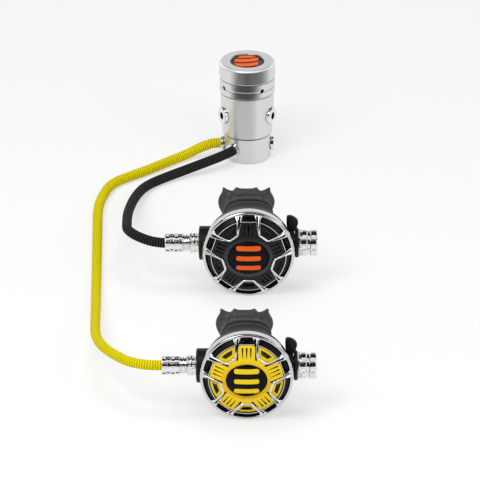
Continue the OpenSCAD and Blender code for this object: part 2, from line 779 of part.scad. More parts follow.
module exhaust_tee() {
    half_l = 28.5;
    top = -29.4;
    bottom = -ring_r;
    case_room = [for (p = case_outer()) [p[0] + gap, p[1]]];
    color(black) difference() {
        union() {
            translate([0, exhaust_y, bottom]) cylinder(r = 13.6, h = top - bottom + 2.4);
            translate([-half_l, exhaust_y - 11.5, bottom]) cube([2 * half_l, 23, top - bottom]);
        }
        translate([0, exhaust_y, bottom + wall]) cylinder(r = 11.6, h = 20);
        translate([-half_l - 1, exhaust_y - 11.5 + wall, bottom + wall])
            cube([2 * half_l + 2, 23 - 2 * wall, top - bottom - 2 * wall]);
        // The ends are cut back above so that the bubbles leave to both sides.
        for (s = [-1, 1])
            translate([s * (half_l + 6), exhaust_y, top + 3]) along_y(-15) cylinder(r = 9, h = 30);
        turned_about_y(case_room, back_y + gap);
    }
}

module mouthpiece() {
    color(rubber) difference() {
        union() {
            mouth_prism(40, 35.8, neck_end_y + 0.1, 66);
            mouth_prism(34, 27, 66 - eps, 78);
            mouth_prism(48.5, 35.6, 74, 77.5);
            for (s = [-1, 1]) translate([s * 15.5, 77, mouth_z]) cube_rounded(9, 11, 15);
        }
        mouth_prism(33.7, 29.5, neck_end_y - 1, spigot_end_y + 0.1);
        mouth_prism(24, 15, spigot_end_y, 90);
    }
}

// A bite tab: a block w wide, l long and h tall with its back end rounded off.
module cube_rounded(w, l, h) {
    translate([-w / 2, 0, 0]) rotate([90, 0, 90]) linear_extrude(w) {
        translate([0, -h / 2]) square([l - 3, h]);
        translate([0, -h / 2 + 3]) square([l, h - 6]);
        for (s = [-1, 1]) translate([l - 3, s * (h / 2 - 3)]) circle(r = 3);
    }
}

module mouthpiece_tie() {
    color(black) {
        difference() {
            mouth_prism(42, 37.8, 55, 59.5);
            mouth_prism(40.1, 35.9, 54, 60.5);
        }
        translate([20.5, 54.5, mouth_z - 8]) cube([3.4, 5.5, 6.5]);
    }
}

module primary() { in_stage(primary_at) children(); }
module octopus() { in_stage(octopus_at) children(); }

turret();
lp_port_plugs();
hose_fittings();
hose_ferrules();
primary_hose();
octopus_hose();
first_stage_body();
high_pressure_plugs();
turret_bolt();
o_rings();
spring_carrier();
spring_adjuster();
main_spring();
main_diaphragm();
end_cap();
pressure_boot();
boot_inlays();
inlet_poppet();
valve_lifter();
inlet_spring();
din_connector();
inlet_filter();
din_wheel();
primary() case_body();  // primary_case
primary() cover_ring();  // primary_cover_ring
primary() cover_plate(black);  // primary_cover_plate
primary() purge_button();  // primary_purge_button
primary() purge_bars(orange);  // primary_purge_bars
primary() diaphragm();  // primary_diaphragm
primary() diaphragm_plate();  // primary_diaphragm_plate
primary() demand_lever();  // primary_demand_lever
primary() valve_barrel();  // primary_valve_barrel
primary() poppet();  // primary_poppet
primary() poppet_spring();  // primary_poppet_spring
primary() swivel_nut();  // primary_swivel_nut
primary() adjusting_knob();  // primary_adjusting_knob
primary() venturi_lever();  // primary_venturi_lever
primary() mouthpiece();  // primary_mouthpiece
primary() mouthpiece_tie();  // primary_mouthpiece_tie
primary() exhaust_valve();  // primary_exhaust_valve
primary() exhaust_tee();  // primary_exhaust_tee
octopus() case_body();  // octopus_case
octopus() cover_ring();  // octopus_cover_ring
octopus() cover_plate(yellow);  // octopus_cover_plate
octopus() purge_button();  // octopus_purge_button
octopus() purge_bars(yellow);  // octopus_purge_bars
octopus() diaphragm();  // octopus_diaphragm
octopus() diaphragm_plate();  // octopus_diaphragm_plate
octopus() demand_lever();  // octopus_demand_lever
octopus() valve_barrel();  // octopus_valve_barrel
octopus() poppet();  // octopus_poppet
octopus() poppet_spring();  // octopus_poppet_spring
octopus() swivel_nut();  // octopus_swivel_nut
octopus() adjusting_knob();  // octopus_adjusting_knob
octopus() venturi_lever();  // octopus_venturi_lever
octopus() mouthpiece();  // octopus_mouthpiece
octopus() mouthpiece_tie();  // octopus_mouthpiece_tie
octopus() exhaust_valve();  // octopus_exhaust_valve
octopus() exhaust_tee();  // octopus_exhaust_tee
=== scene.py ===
"""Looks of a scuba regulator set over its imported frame.

Sizes are millimetres until a mesh is made. Second-stage pieces are worked out about the middle of
their cover ring, with X to the right, Y back into the case and Z up, and then moved to their place.
"""

import json
import math

import bmesh
import bpy
import numpy as np
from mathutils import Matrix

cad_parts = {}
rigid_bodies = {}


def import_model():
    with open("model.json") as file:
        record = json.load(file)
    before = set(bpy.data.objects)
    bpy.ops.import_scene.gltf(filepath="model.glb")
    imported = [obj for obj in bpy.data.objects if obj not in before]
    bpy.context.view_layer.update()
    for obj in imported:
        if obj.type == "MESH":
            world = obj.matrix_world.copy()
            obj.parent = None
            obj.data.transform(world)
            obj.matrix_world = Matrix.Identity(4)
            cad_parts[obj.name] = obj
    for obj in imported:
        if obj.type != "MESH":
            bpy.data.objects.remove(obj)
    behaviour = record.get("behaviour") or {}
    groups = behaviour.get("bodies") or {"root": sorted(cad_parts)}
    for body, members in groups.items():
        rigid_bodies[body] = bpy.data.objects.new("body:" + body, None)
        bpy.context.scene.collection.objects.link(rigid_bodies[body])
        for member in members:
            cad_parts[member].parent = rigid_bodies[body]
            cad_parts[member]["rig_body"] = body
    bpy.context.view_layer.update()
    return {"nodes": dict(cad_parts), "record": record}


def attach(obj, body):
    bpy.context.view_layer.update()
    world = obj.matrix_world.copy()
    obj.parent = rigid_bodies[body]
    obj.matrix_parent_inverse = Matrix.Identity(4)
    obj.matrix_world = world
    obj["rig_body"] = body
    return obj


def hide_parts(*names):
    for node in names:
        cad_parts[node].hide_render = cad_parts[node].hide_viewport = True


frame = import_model()

MM = 0.001
TAU = 2 * math.pi
# Degrees between two faces from which their edge is shaded sharp and bevelled.
SHARP = 35

# Places and sizes shared with the frame, and the spokes' bearings and half the angle between two.
STAGE_AT = {"primary": np.array([1.0, -294.0, 39.0]), "octopus": np.array([-0.7, -542.5, 39.0])}
BARREL_Y = 24.0
MOUTH_Z = 9.0
MOUTH_LEAN = 1.8
HOSE_D = 8.4
SPOKES = (18, 90, 162, 234, 306)
HALF_STEP = 36
BUTTON = (17.2, 14.3)
# The cover's face stands DOME_PROUD in front of its rim's plane in the middle and falls back by
# DOME_FALL, as a power of the radius, at DOME_R.
DOME_R, DOME_PROUD, DOME_FALL, DOME_POWER = 36.0, 7.8, 8.2, 3.5
# Radii of the cover: its ring, the ends of the window frames, the arcs across them, the outer
# ends of its star's arms and the middle field where the arms start.
RING_R, FRAME_END_R, ARC_R, STAR_R, FIELD_R = 39.0, 36.5, 31.85, 30.6, 19.5
PRIMARY_ROUTE = [
    (-13.4, -18.45, 12), (-14.4, -19.8, 12), (-24, -28.6, 11.2), (-34, -34.6, 9.6),
    (-44.4, -40.2, 7.8), (-55, -46.7, 6.3), (-66, -54.2, 5.2), (-76, -63, 4.8),
    (-84.3, -73.4, 5.2), (-90, -86, 6.6), (-93.8, -101, 9), (-96.7, -118, 12.2),
    (-98.9, -137.5, 16.4), (-100.6, -158.3, 21), (-101.8, -179, 26), (-102.4, -200, 31),
    (-102.5, -221, 36), (-102.4, -239.4, 39.8), (-101.4, -247.4, 41), (-98.4, -254.8, 41.5),
    (-93.6, -261.1, 41.3), (-87.3, -265.9, 40.6), (-80, -269, 39.7), (-72.5, -270, 39),
    (-70.1, -270, 39),
]
OCTOPUS_ROUTE = [
    (-22.8, 0, 12), (-24.5, 0, 12), (-31.7, -0.5, 11.2), (-41.4, -2.8, 8.2),
    (-50.2, -7.6, 5.6), (-59.3, -15, 4.6), (-68.2, -23.6, 4.6), (-78.5, -34, 4.6),
    (-90.2, -45.2, 4.6), (-102, -55.6, 4.6), (-111.6, -65, 4.6), (-118.6, -76.6, 4.6),
    (-123.4, -93.5, 4.6), (-126.9, -113, 4.6), (-128.2, -136, 4.6), (-128.2, -162, 4.6),
    (-128.2, -188, 4.6), (-128.2, -214, 4.6), (-128.2, -239, 4.6), (-128.2, -263, 4.9),
    (-128.2, -290, 6), (-128.2, -317, 8), (-128.2, -344, 10.8), (-128.2, -370, 14.3),
    (-128.2, -395, 18.4), (-127.8, -415.7, 22), (-126.2, -435, 25.5), (-123.6, -451, 28.4),
    (-120, -465.5, 31), (-114.9, -480, 33.6), (-108.2, -494.6, 36), (-101.2, -505.4, 37.4),
    (-93.2, -512.8, 38.4), (-83.8, -517.2, 38.9), (-74, -518.5, 39), (-71.8, -518.5, 39),
]


# ------------ camera

CAMERA_ELEVATION = 24.3
CAMERA_LENS = 1200.0
VIEW_WIDTH = 410.4
VIEW_CENTRE = (-6.24, -177.9, 0.0)


def set_camera():
    """A long lens looking along +Y and down, so that the frame is VIEW_WIDTH wide at the centre."""
    data = bpy.data.cameras.new("studio_camera")
    data.lens = CAMERA_LENS
    data.sensor_width = 36.0
    data.clip_start = 1.0
    data.clip_end = 100.0
    camera = bpy.data.objects.new("studio_camera", data)
    bpy.context.scene.collection.objects.link(camera)
    away = VIEW_WIDTH * CAMERA_LENS / data.sensor_width
    rise = math.radians(CAMERA_ELEVATION)
    x, y, z = VIEW_CENTRE
    camera.location = (
        x * MM, (y - away * math.cos(rise)) * MM, (z + away * math.sin(rise)) * MM
    )
    camera.rotation_euler = (math.pi / 2 - rise, 0, 0)
    bpy.context.scene.camera = camera


set_camera()


# ------------ mesh tools


def new_object(name, mesh):
    """An object at the origin, linked to the scene."""
    obj = bpy.data.objects.new(name, mesh)
    bpy.context.scene.collection.objects.link(obj)
    return obj


def smooth(mesh, sharp_angle=SHARP):
    """Smooth shading, broken only where faces meet at more than sharp_angle degrees."""
    mesh.shade_smooth()
    mesh.set_sharp_from_angle(angle=math.radians(sharp_angle))


def closed_up(mesh, weld=2e-7):
    """Welds seams and poles and points the faces outward."""
    bm = bmesh.new()
    bm.from_mesh(mesh)
    bmesh.ops.remove_doubles(bm, verts=bm.verts, dist=weld)
    bmesh.ops.recalc_face_normals(bm, faces=bm.faces)
    bm.to_mesh(mesh)
    bm.free()


def grid_faces(rows, columns, along=False, caps=False):
    """Quads between neighbouring points of a grid whose rows are closed: along closes the columns
    too, and caps fills the first and last rows."""
    index = np.arange(rows * columns).reshape(rows, columns)
    ends = [index[0, ::-1].tolist(), index[-1].tolist()] if caps else []
    index = np.hstack([index, index[:, :1]])
    if along:
        index = np.vstack([index, index[:1]])
    corners = [index[:-1, :-1], index[:-1, 1:], index[1:, 1:], index[1:, :-1]]
    return np.stack(corners, axis=-1).reshape(-1, 4).tolist() + ends


def surface(name, grid, at, along=False, caps=False):
    """A mesh through grid (rows, columns, 3), closed as grid_faces says and moved to at."""
    mesh = bpy.data.meshes.new(name)
    points = (grid.reshape(-1, 3) + at) * MM
    mesh.from_pydata(points, [], grid_faces(*grid.shape[:2], along, caps))
    closed_up(mesh)
    smooth(mesh)
    return new_object(name, mesh)


def around(count):
    """The angles of count even steps round a circle."""
    return np.linspace(0, TAU, count, endpoint=False)


def rounded(corners, radius, steps=4, closed=True):
    """An outline with each corner turned into an arc: the arc's ends lie radius along both
    edges (less on short edges) and it bends as a quadratic curve towards the corner. The ends
    of an open outline stay as they are."""
    points = np.asarray(corners, float)
    count = len(points)
    out = []
    for i in range(count):
        if not closed and i in (0, count - 1):
            out.append(points[i : i + 1])
            continue
        here = points[i]
        start, end = (
            here + unit(other - here) * min(radius, 0.45 * np.linalg.norm(other - here))
            for other in (points[i - 1], points[(i + 1) % count])
        )
        t = np.linspace(0, 1, steps)[:, None]
        out.append((1 - t) ** 2 * start + 2 * t * (1 - t) * here + t ** 2 * end)
    return np.vstack(out)


def turned(name, outline, axis, at, radius, segments):
    """A turned piece: a (radius, height) outline whose corners are rounded, spun about axis 'X',
    'Y' or 'Z'. One that starts and ends on the axis closes there."""
    hollow = outline[0][0] > 0
    points = rounded(outline, radius, closed=hollow)
    angle = around(segments)
    r, h = points[:, :1], points[:, 1:]
    across, up, along = r * np.cos(angle), r * np.sin(angle), h + 0 * angle
    order = {"Z": (across, up, along), "Y": (across, along, up), "X": (along, across, up)}[axis]
    return surface(name, np.stack(order, -1), at, along=hollow)


def superellipse(angle, a, b, power):
    """Point at an angle on |x/a|^p + |z/b|^p = 1, scaled outward along its own direction."""
    c, s = np.cos(angle), np.sin(angle)
    size = (np.abs(c) ** power + np.abs(s) ** power) ** (-1.0 / power)
    return a * c * size, b * s * size


def unit(v):
    """Vectors along the last axis, made 1 long."""
    return v / np.maximum(np.linalg.norm(v, axis=-1, keepdims=True), 1e-12)


def through(points, per_span):
    """Catmull-Rom curve through the points: each span is a cubic whose end slopes are half the
    chord between the neighbouring points."""
    p = np.asarray(points, float)
    p = np.vstack([2 * p[0] - p[1], p, 2 * p[-1] - p[-2]])
    t = np.linspace(0, 1, per_span, endpoint=False)[:, None]
    spans = [
        0.5 * (2 * b + (c - a) * t + (2 * a - 5 * b + 4 * c - d) * t ** 2
               + (3 * b - a - 3 * c + d) * t ** 3)
        for a, b, c, d in zip(p[:-3], p[1:-2], p[2:-1], p[3:])
    ]
    return np.vstack(spans + [p[-2:-1]])


def run_of(points):
    """Distance travelled at each point of a path."""
    steps = np.linalg.norm(np.diff(points, axis=0), axis=1)
    return np.concatenate([[0], np.cumsum(steps)])


def crossways(path, normal):
    """Two unit vectors across a path at each point: to its side, and out along normal as far as
    the path's direction allows."""
    along = unit(np.gradient(path, axis=0))
    side = unit(np.cross(along, normal))
    return side[:, None], np.cross(side, along)[:, None]


def swept(name, path, section, normal, scale, at):
    """A closed (across, out) section carried along a path; out follows normal, and scale, one
    (across, out) pair for each point or for all, widens the section on its way."""
    side, out = crossways(path, normal)
    grid = (
        path[:, None]
        + (section[None, :, 0] * scale[:, :1])[..., None] * side
        + (section[None, :, 1] * scale[:, 1:])[..., None] * out
    )
    return surface(name, grid, at, caps=True)


def finished(obj, body, node, slot, material=None):
    """Body, replaced node, record's slot and material of a piece, by default the slot's own."""
    obj.data.materials.clear()
    obj.data.materials.append(material or SLOT_FINISH[slot])
    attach(obj, body)
    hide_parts(node)
    return obj


def joined(name, parts, body, node, slot, material=None, sharp_angle=SHARP):
    """Several meshes made one finished piece; each stays a closed shell of its own."""
    bm = bmesh.new()
    for part in parts:
        bm.from_mesh(part.data)
        bpy.data.objects.remove(part)
    mesh = bpy.data.meshes.new(name)
    bm.to_mesh(mesh)
    bm.free()
    smooth(mesh, sharp_angle)
    return finished(new_object(name, mesh), body, node, slot, material)


def dressed(node, slot, width, segments=2, material=None):
    """A copy of a CAD node with its triangles merged into whole faces and its edges rounded."""
    source = frame["nodes"][node]
    mesh = source.data.copy()
    if "custom_normal" in mesh.attributes:
        mesh.attributes.remove(mesh.attributes["custom_normal"])
    bm = bmesh.new()
    bm.from_mesh(mesh)
    bmesh.ops.remove_doubles(bm, verts=bm.verts, dist=2e-6)
    bmesh.ops.dissolve_limit(
        bm, angle_limit=math.radians(0.5), verts=bm.verts, edges=bm.edges
    )
    bm.to_mesh(mesh)
    bm.free()
    smooth(mesh, 28)
    obj = new_object(node + "_finished", mesh)
    bevel = obj.modifiers.new("edges", "BEVEL")
    bevel.width = width * MM
    bevel.segments = segments
    bevel.limit_method = "ANGLE"
    bevel.angle_limit = math.radians(SHARP)
    bevel.harden_normals = True
    bevel.use_clamp_overlap = True
    return finished(obj, source["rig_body"], node, slot, material)


# ------------ shader tools


def maths(operation, swapped=False):
    """A method of Value that adds a Math node; swapped puts the value second."""

    def method(self, other=0.0):
        first, second = (other, self) if swapped else (self, other)
        made = self.tree.node("ShaderNodeMath", {"operation": operation}, {0: first, 1: second})
        return Value(self.tree, made.outputs[0])

    return method


class Value:
    """A number in a material: arithmetic on it adds Math nodes."""

    def __init__(self, tree, socket):
        self.tree = tree
        self.socket = socket

    __add__, __radd__ = maths("ADD"), maths("ADD", True)
    __sub__, __rsub__ = maths("SUBTRACT"), maths("SUBTRACT", True)
    __mul__, __rmul__ = maths("MULTIPLY"), maths("MULTIPLY", True)
    __truediv__ = maths("DIVIDE")
    __gt__, __lt__ = maths("GREATER_THAN"), maths("LESS_THAN")
    raised, size, sine = maths("POWER"), maths("ABSOLUTE"), maths("SINE")
    angle_to, folded = maths("ARCTAN2"), maths("PINGPONG")

    def clipped(self):
        made = self.tree.node("ShaderNodeClamp", {}, {"Value": self})
        return Value(self.tree, made.outputs[0])

    def over(self, edge, blend):
        """0 below edge, rising to 1 within blend of it."""
        return ((self - edge) / blend).clipped()

    def past(self, edge, blend=0.2):
        """The same for a length in metres, with edge and blend in millimetres."""
        return self.over(edge * MM, blend * MM)


class Nodes:
    """The node tree of a material or the world; patterns are on Object coordinates in metres."""

    def __init__(self, tree):
        self.tree = tree

    def node(self, kind, settings=None, inputs=None):
        """Adds a node: settings first, then values or links of its sockets."""
        made = self.tree.nodes.new(kind)
        for key, value in (settings or {}).items():
            setattr(made, key, value)
        for key, value in (inputs or {}).items():
            self.feed(made.inputs[key], value)
        return made

    def zero(self):
        made = self.node("ShaderNodeValue").outputs[0]
        made.default_value = 0.0
        return Value(self, made)

    def feed(self, socket, value):
        if isinstance(value, Value):
            self.tree.links.new(value.socket, socket)
        elif isinstance(value, bpy.types.NodeSocket):
            self.tree.links.new(value, socket)
        else:
            socket.default_value = value

    def place(self, scale=(1, 1, 1), shift=(0, 0, 0)):
        """Object coordinates, shifted in metres and then scaled per axis."""
        where = self.node("ShaderNodeTexCoord")
        mapping = self.node(
            "ShaderNodeMapping",
            {"vector_type": "POINT"},
            {"Vector": where.outputs["Object"], "Scale": scale,
             "Location": tuple(-s * k for s, k in zip(shift, scale))},
        )
        return mapping.outputs[0]

    def parts(self, vector):
        split = self.node("ShaderNodeSeparateXYZ", {}, {0: vector})
        return [Value(self, out) for out in split.outputs]

    def noise(self, scale, detail, rough, stretch=(1, 1, 1)):
        """Noise between 0 and 1; scale is features per metre before the stretch."""
        made = self.node(
            "ShaderNodeTexNoise", {},
            {"Vector": self.place(stretch), "Scale": scale, "Detail": detail, "Roughness": rough},
        )
        return Value(self, made.outputs[0])

    def mixed(self, factor, first, second):
        """Colour from first, a colour or a socket, to second, a colour."""
        if isinstance(first, tuple):
            first = (*first, 1)
        made = self.node(
            "ShaderNodeMix", {"data_type": "RGBA"}, {0: factor, 6: first, 7: (*second, 1)}
        )
        return made.outputs[2]

    def bump(self, height, depth_mm, strength):
        inputs = {"Height": height, "Distance": depth_mm * MM, "Strength": strength}
        return self.node("ShaderNodeBump", {}, inputs).outputs[0]

    def shows_background(self):
        """1 for rays from the camera and for reflected or transmitted ones, otherwise 0."""
        path = self.node("ShaderNodeLightPath").outputs
        seen = Value(self, path["Is Camera Ray"]) + Value(self, path["Is Glossy Ray"])
        return (seen + Value(self, path["Is Transmission Ray"])).clipped()


class Finish(Nodes):
    """A material under construction; keywords are the fixed values of its shader."""

    def __init__(self, name, **principled):
        self.material = bpy.data.materials.new(name)
        self.material.use_nodes = True
        super().__init__(self.material.node_tree)
        self.shader = self.tree.nodes["Principled BSDF"]
        self.set(**principled)

    def set(self, **values):
        for socket, value in values.items():
            self.feed(self.shader.inputs[socket.replace("_", " ")], value)


SATIN_TONE = (0.74, 0.745, 0.755)
BRIGHT_TONE = (0.82, 0.825, 0.835)


def times(colour, share):
    """A darker or paler shade of a colour."""
    return tuple(c * share for c in colour)


def satin_chrome(name, rough, side_r, bands, seams, recess_r=0.0, chamfer=None):
    """Plated brass turned about Z: fine turning lines, faint cloudiness and hairline marks. Outside
    side_r it carries painted reflection: soft upright dark bands, each (bearing from the front in
    degrees, half width, strength), and lines at the seams, each (bottom, top, strength), where a
    positive strength darkens the line and a negative one leaves a painted highlight line in the
    bands. Inside recess_r it is painted nearly black as shade, and a chamfer, from a radius and a
    height outward, carries a painted highlight, pale and less metallic."""
    f = Finish(name, Metallic=1.0)
    cloud = f.noise(60, 4, 0.6)
    lines = f.noise(5200, 2, 0.5, (0.02, 0.02, 1))
    hairs = f.noise(900, 2, 0.6, (1, 0.1, 0.35)).raised(6) * 3
    x, y, z = f.parts(f.place())
    r = (x * x + y * y).raised(0.5)
    # Painted reflection and shade: dark bands on the sides, the seam lines and, below, the shade in
    # the recesses.
    dark = f.zero()
    for bearing, half, strength in bands:
        turn, edge = math.radians(bearing), math.cos(math.radians(half))
        near = (((x * math.sin(turn) - y * math.cos(turn)) / r - edge) / (1 - edge)).clipped()
        dark = dark + near * near * (3 - 2 * near) * strength
    for bottom, top, strength in seams:
        dark = dark + z.past(bottom, 0.15) * (1 - z.past(top, 0.15)) * strength
    dark = dark * r.past(side_r)
    # Painted shade, nearly black, inside the recesses such as the spanner holes.
    if recess_r:
        dark = dark + (1 - r.past(recess_r, 0.3)) * 0.93
    plain = f.mixed(cloud, times(SATIN_TONE, 0.94), SATIN_TONE)
    colour = f.mixed(dark.clipped(), plain, times(SATIN_TONE, 0.06))
    # Painted highlight on the chamfer: a pale colour with less metal.
    if chamfer:
        pale = r.past(chamfer[0]) * z.past(chamfer[1])
        colour = f.mixed(pale, colour, (0.88, 0.885, 0.89))
        f.set(Metallic=1 - pale * 0.8)
    f.set(
        Base_Color=colour,
        Roughness=(cloud - 0.5) * 0.10 + lines * 0.05 + (rough - 0.02),
        Normal=f.bump(lines * 0.7 + hairs * 0.3, 0.004, 0.35),
    )
    return f.material


def bright_chrome(name, sockets=(), ring_at=None):
    """Polished chrome plate with a trace of handling haze and orange-peel ripple. Sockets, each
    (bearing from the front in degrees, height, radius), are holes toward Z whose walls carry
    painted shade; the ring of a cover centred on ring_at is painted darker than the frames inside
    it, a painted shade that stands for its darker reflection."""
    f = Finish(name, Metallic=1.0)
    haze = f.noise(140, 4, 0.6)
    ripple = f.noise(900, 2, 0.4)
    colour = f.mixed(haze, times(BRIGHT_TONE, 0.95), BRIGHT_TONE)
    if sockets:
        x, y, z = f.parts(f.place())
        # Painted shade, nearly black, on the walls of the sockets.
        socket_shade = f.zero()
        for bearing, height, radius in sockets:
            c, s = math.cos(math.radians(bearing)), math.sin(math.radians(bearing))
            ahead = (x * s - y * c).past(0, 1)
            aside, rise = x * c + y * s, z - height * MM
            away = (aside * aside + rise * rise).raised(0.5)
            socket_shade = socket_shade + ahead * (1 - away.past(radius, 0.15))
        colour = f.mixed(socket_shade.clipped() * 0.95, colour, (0.01, 0.01, 0.01))
    if ring_at is not None:
        # Painted shade: the ring's chrome is painted darker than the frames, for its darker
        # reflection.
        x, _, z = f.parts(f.place(shift=tuple(ring_at * MM)))
        rim = (x * x + z * z).raised(0.5).past(FRAME_END_R, 0.4)
        colour = f.mixed(rim, colour, times(BRIGHT_TONE, 0.76))
    f.set(
        Base_Color=colour,
        Roughness=haze * 0.08 + 0.03,
        Normal=f.bump(ripple, 0.008, 0.25),
    )
    return f.material


def moulded(
    name, colour, rough, grain_depth=0.03, shade=0.8, gloss=0.2, cover_at=None, dark_windows=False
):
    """Injection-moulded plastic: spark-eroded grain, uneven sheen and light scuffs. A cover's
    plate, centred on cover_at, is painted black as shade outside its star under the ring's lip, in
    the channel along every spoke's sides and behind its face, and with dark_windows all round the
    windows as well; its surfaces sunk behind the face and the slots in its arms carry painted
    shade; the slope round its button carries painted light, a grey highlight on the black plate
    and a deeper orange shade on the yellow one, strongest towards the bottom."""
    f = Finish(name, Specular_IOR_Level=gloss)
    grain = f.noise(3600, 2, 0.6)
    cloud = f.noise(70, 3, 0.5)
    scuff = f.noise(420, 5, 0.75).raised(5) * 4
    tint = f.mixed(cloud, times(colour, shade), colour)
    if cover_at is not None:
        x, y, z = f.parts(f.place(shift=tuple(cover_at * MM)))
        r = (x * x + z * z).raised(0.5)
        bearing = z.angle_to(x) + (TAU - math.radians(SPOKES[0]))
        across = r * bearing.folded(math.radians(HALF_STEP)).sine()
        arms = r.past(FIELD_R, 0.5)
        channel = across.past(6.9)
        if not dark_windows:
            channel = channel * (1 - across.past(8.4))
        # Painted shade, nearly black: under the ring's lip outside the star, in the channels beside
        # the arms, all round the windows with dark_windows, and behind the face.
        black = (channel * arms + r.past(STAR_R) + y.past(1.5)).clipped()
        face = (r / (DOME_R * MM)).raised(DOME_POWER) * (DOME_FALL * MM) - DOME_PROUD * MM
        depth = y - face
        # Painted shade on surfaces sunk behind the face and in the slots of the arms.
        recess_shade = depth.past(1.7, 0.3) + depth.past(0.6, 0.5) * (1 - across.past(5, 0.3)) * arms
        tint = f.mixed(recess_shade.clipped() * 0.85, tint, times(colour, 0.22))
        # Painted light on the slope round the button: a grey highlight on the black plate, a deeper
        # orange shade on the yellow one, strongest towards the bottom.
        a, b = BUTTON[0] * MM, BUTTON[1] * MM
        oval = (x * x / (a * a) + z * z / (b * b)).raised(0.5)
        slope = oval.over(1.04, 0.03) * (1 - oval.over(1.16, 0.12))
        slope_light = (0.055, 0.052, 0.05) if dark_windows else (0.84, 0.50, 0.010)
        tint = f.mixed(slope * (0.85 - z / (2.4 * b)).clipped(), tint, slope_light)
        tint = f.mixed(black, tint, (0.006, 0.005, 0.006))
    f.set(
        Base_Color=tint,
        Roughness=(cloud - 0.5) * 0.12 + scuff.clipped() * 0.10 + rough,
        Normal=f.bump(grain, grain_depth, 0.5),
    )
    return f.material


def soft_rubber(name, colour, rough):
    """Silicone or rubber with a dry bloom, soft mottling and very fine texture."""
    f = Finish(name, Specular_IOR_Level=0.4)
    bloom = f.noise(45, 5, 0.65)
    fine = f.noise(2400, 3, 0.6)
    f.set(
        Base_Color=f.mixed(bloom, colour, tuple(c * 1.5 + 0.006 for c in colour)),
        Roughness=(bloom - 0.5) * 0.15 + rough,
        Normal=f.bump(fine, 0.02, 0.5),
    )
    return f.material


# Strands each way round the hose, and the lengths of a strand's step and of a rib.
STRANDS, STRAND_MM, RIB_MM = 16, 1.9, 2.1


def braided(name, colour, groove):
    """Braided cover on the hose's own UV: u goes once round and v is millimetres along. Two
    families of strands wind opposite ways and pass over and under each other, in low ribs across
    the hose; the grooves between them carry painted shade in the groove colour."""
    f = Finish(name, Specular_IOR_Level=0.05)
    u, v, _ = f.parts(f.node("ShaderNodeUVMap", {"uv_map": "hose"}).outputs[0])
    across, along = u * (TAU * STRANDS / 2), v * (math.pi / STRAND_MM)
    one, other = (across + along).sine().size(), (across - along).sine().size()
    over = (across.sine() * along.sine()) > 0.0
    strands = over * one + (1 - over) * other
    rib = (v * (TAU / RIB_MM)).sine() * 0.5 + 0.5
    height = strands.raised(0.6) * 0.3 + rib * 0.7
    dust = f.noise(300, 4, 0.6)
    # Painted shade: the low parts of the braid take the darker groove colour.
    tint = f.mixed(height.over(0.45, 0.5), groove, colour)
    f.set(
        Base_Color=f.mixed(dust * 0.05, tint, tuple(min(1, c * 1.5 + 0.01) for c in colour)),
        Roughness=0.80 - height * 0.14,
        Normal=f.bump(height, 0.35, 0.8),
    )
    return f.material


def drawn_metal(name, tone, rough, scratch_depth=0.03):
    """Machined or drawn metal with fine scratches, or coarse ones where it is sintered."""
    f = Finish(name, Metallic=1.0)
    scratch = f.noise(1800, 3, 0.6, (1, 0.15, 0.5))
    f.set(
        Base_Color=f.mixed(scratch, times(tone, 0.85), tone),
        Roughness=scratch * 0.12 + rough,
        Normal=f.bump(scratch, scratch_depth, 0.3),
    )
    return f.material


# Each first-stage finish: roughness, side radius, painted reflection bands, seam lines (dark for a
# positive strength, a painted highlight for a negative one), and the carrier's painted shade in its
# spanner holes and the cap's painted highlight on its chamfer.
SATIN = {
    "turret": satin_chrome(
        "satin_turret", 0.33, 19.0, ((-3, 28, 0.10), (150, 45, 0.2)), ((22.5, 23.3, 0.6),)
    ),
    "first_stage_body": satin_chrome(
        "satin_body", 0.33, 20.0, ((-3, 30, 0.3), (150, 45, 0.3), (-120, 40, 0.2)),
        ((23.3, 24.0, 0.45), (61.1, 61.9, 0.45)),
    ),
    "spring_carrier": satin_chrome(
        "satin_carrier", 0.30, 23.0, ((-3, 40, 0.95), (150, 45, 0.6), (-120, 40, 0.4)),
        ((61.9, 62.8, -0.9), (67.9, 69.6, -0.4)), 22.9,
    ),
    "end_cap": satin_chrome(
        "satin_cap", 0.28, 23.6, ((8, 50, 0.85), (150, 45, 0.6), (-120, 40, 0.4)),
        ((75.4, 76.4, -0.9),), chamfer=(22.7, 88.0),
    ),
}
# Cover ring chrome, with the ring painted darker than its frames as painted shade.
RING_CHROME = {
    stage: bright_chrome(f"{stage}_ring_plate", ring_at=at) for stage, at in STAGE_AT.items()
}
# Plug chrome with painted shade in its hex sockets.
PLUG_CHROME = bright_chrome(
    "plug_plate",
    sockets=((65, 42, 3.1), (-65, 42, 3.1), (90, 12, 2.7), (135, 12, 2.7), (-135, 12, 2.7)),
)
YELLOW = (0.98, 0.69, 0.008)
BUTTON_BLACK = moulded("black_button", (0.004, 0.004, 0.007), 0.30, 0.02, gloss=0.1)
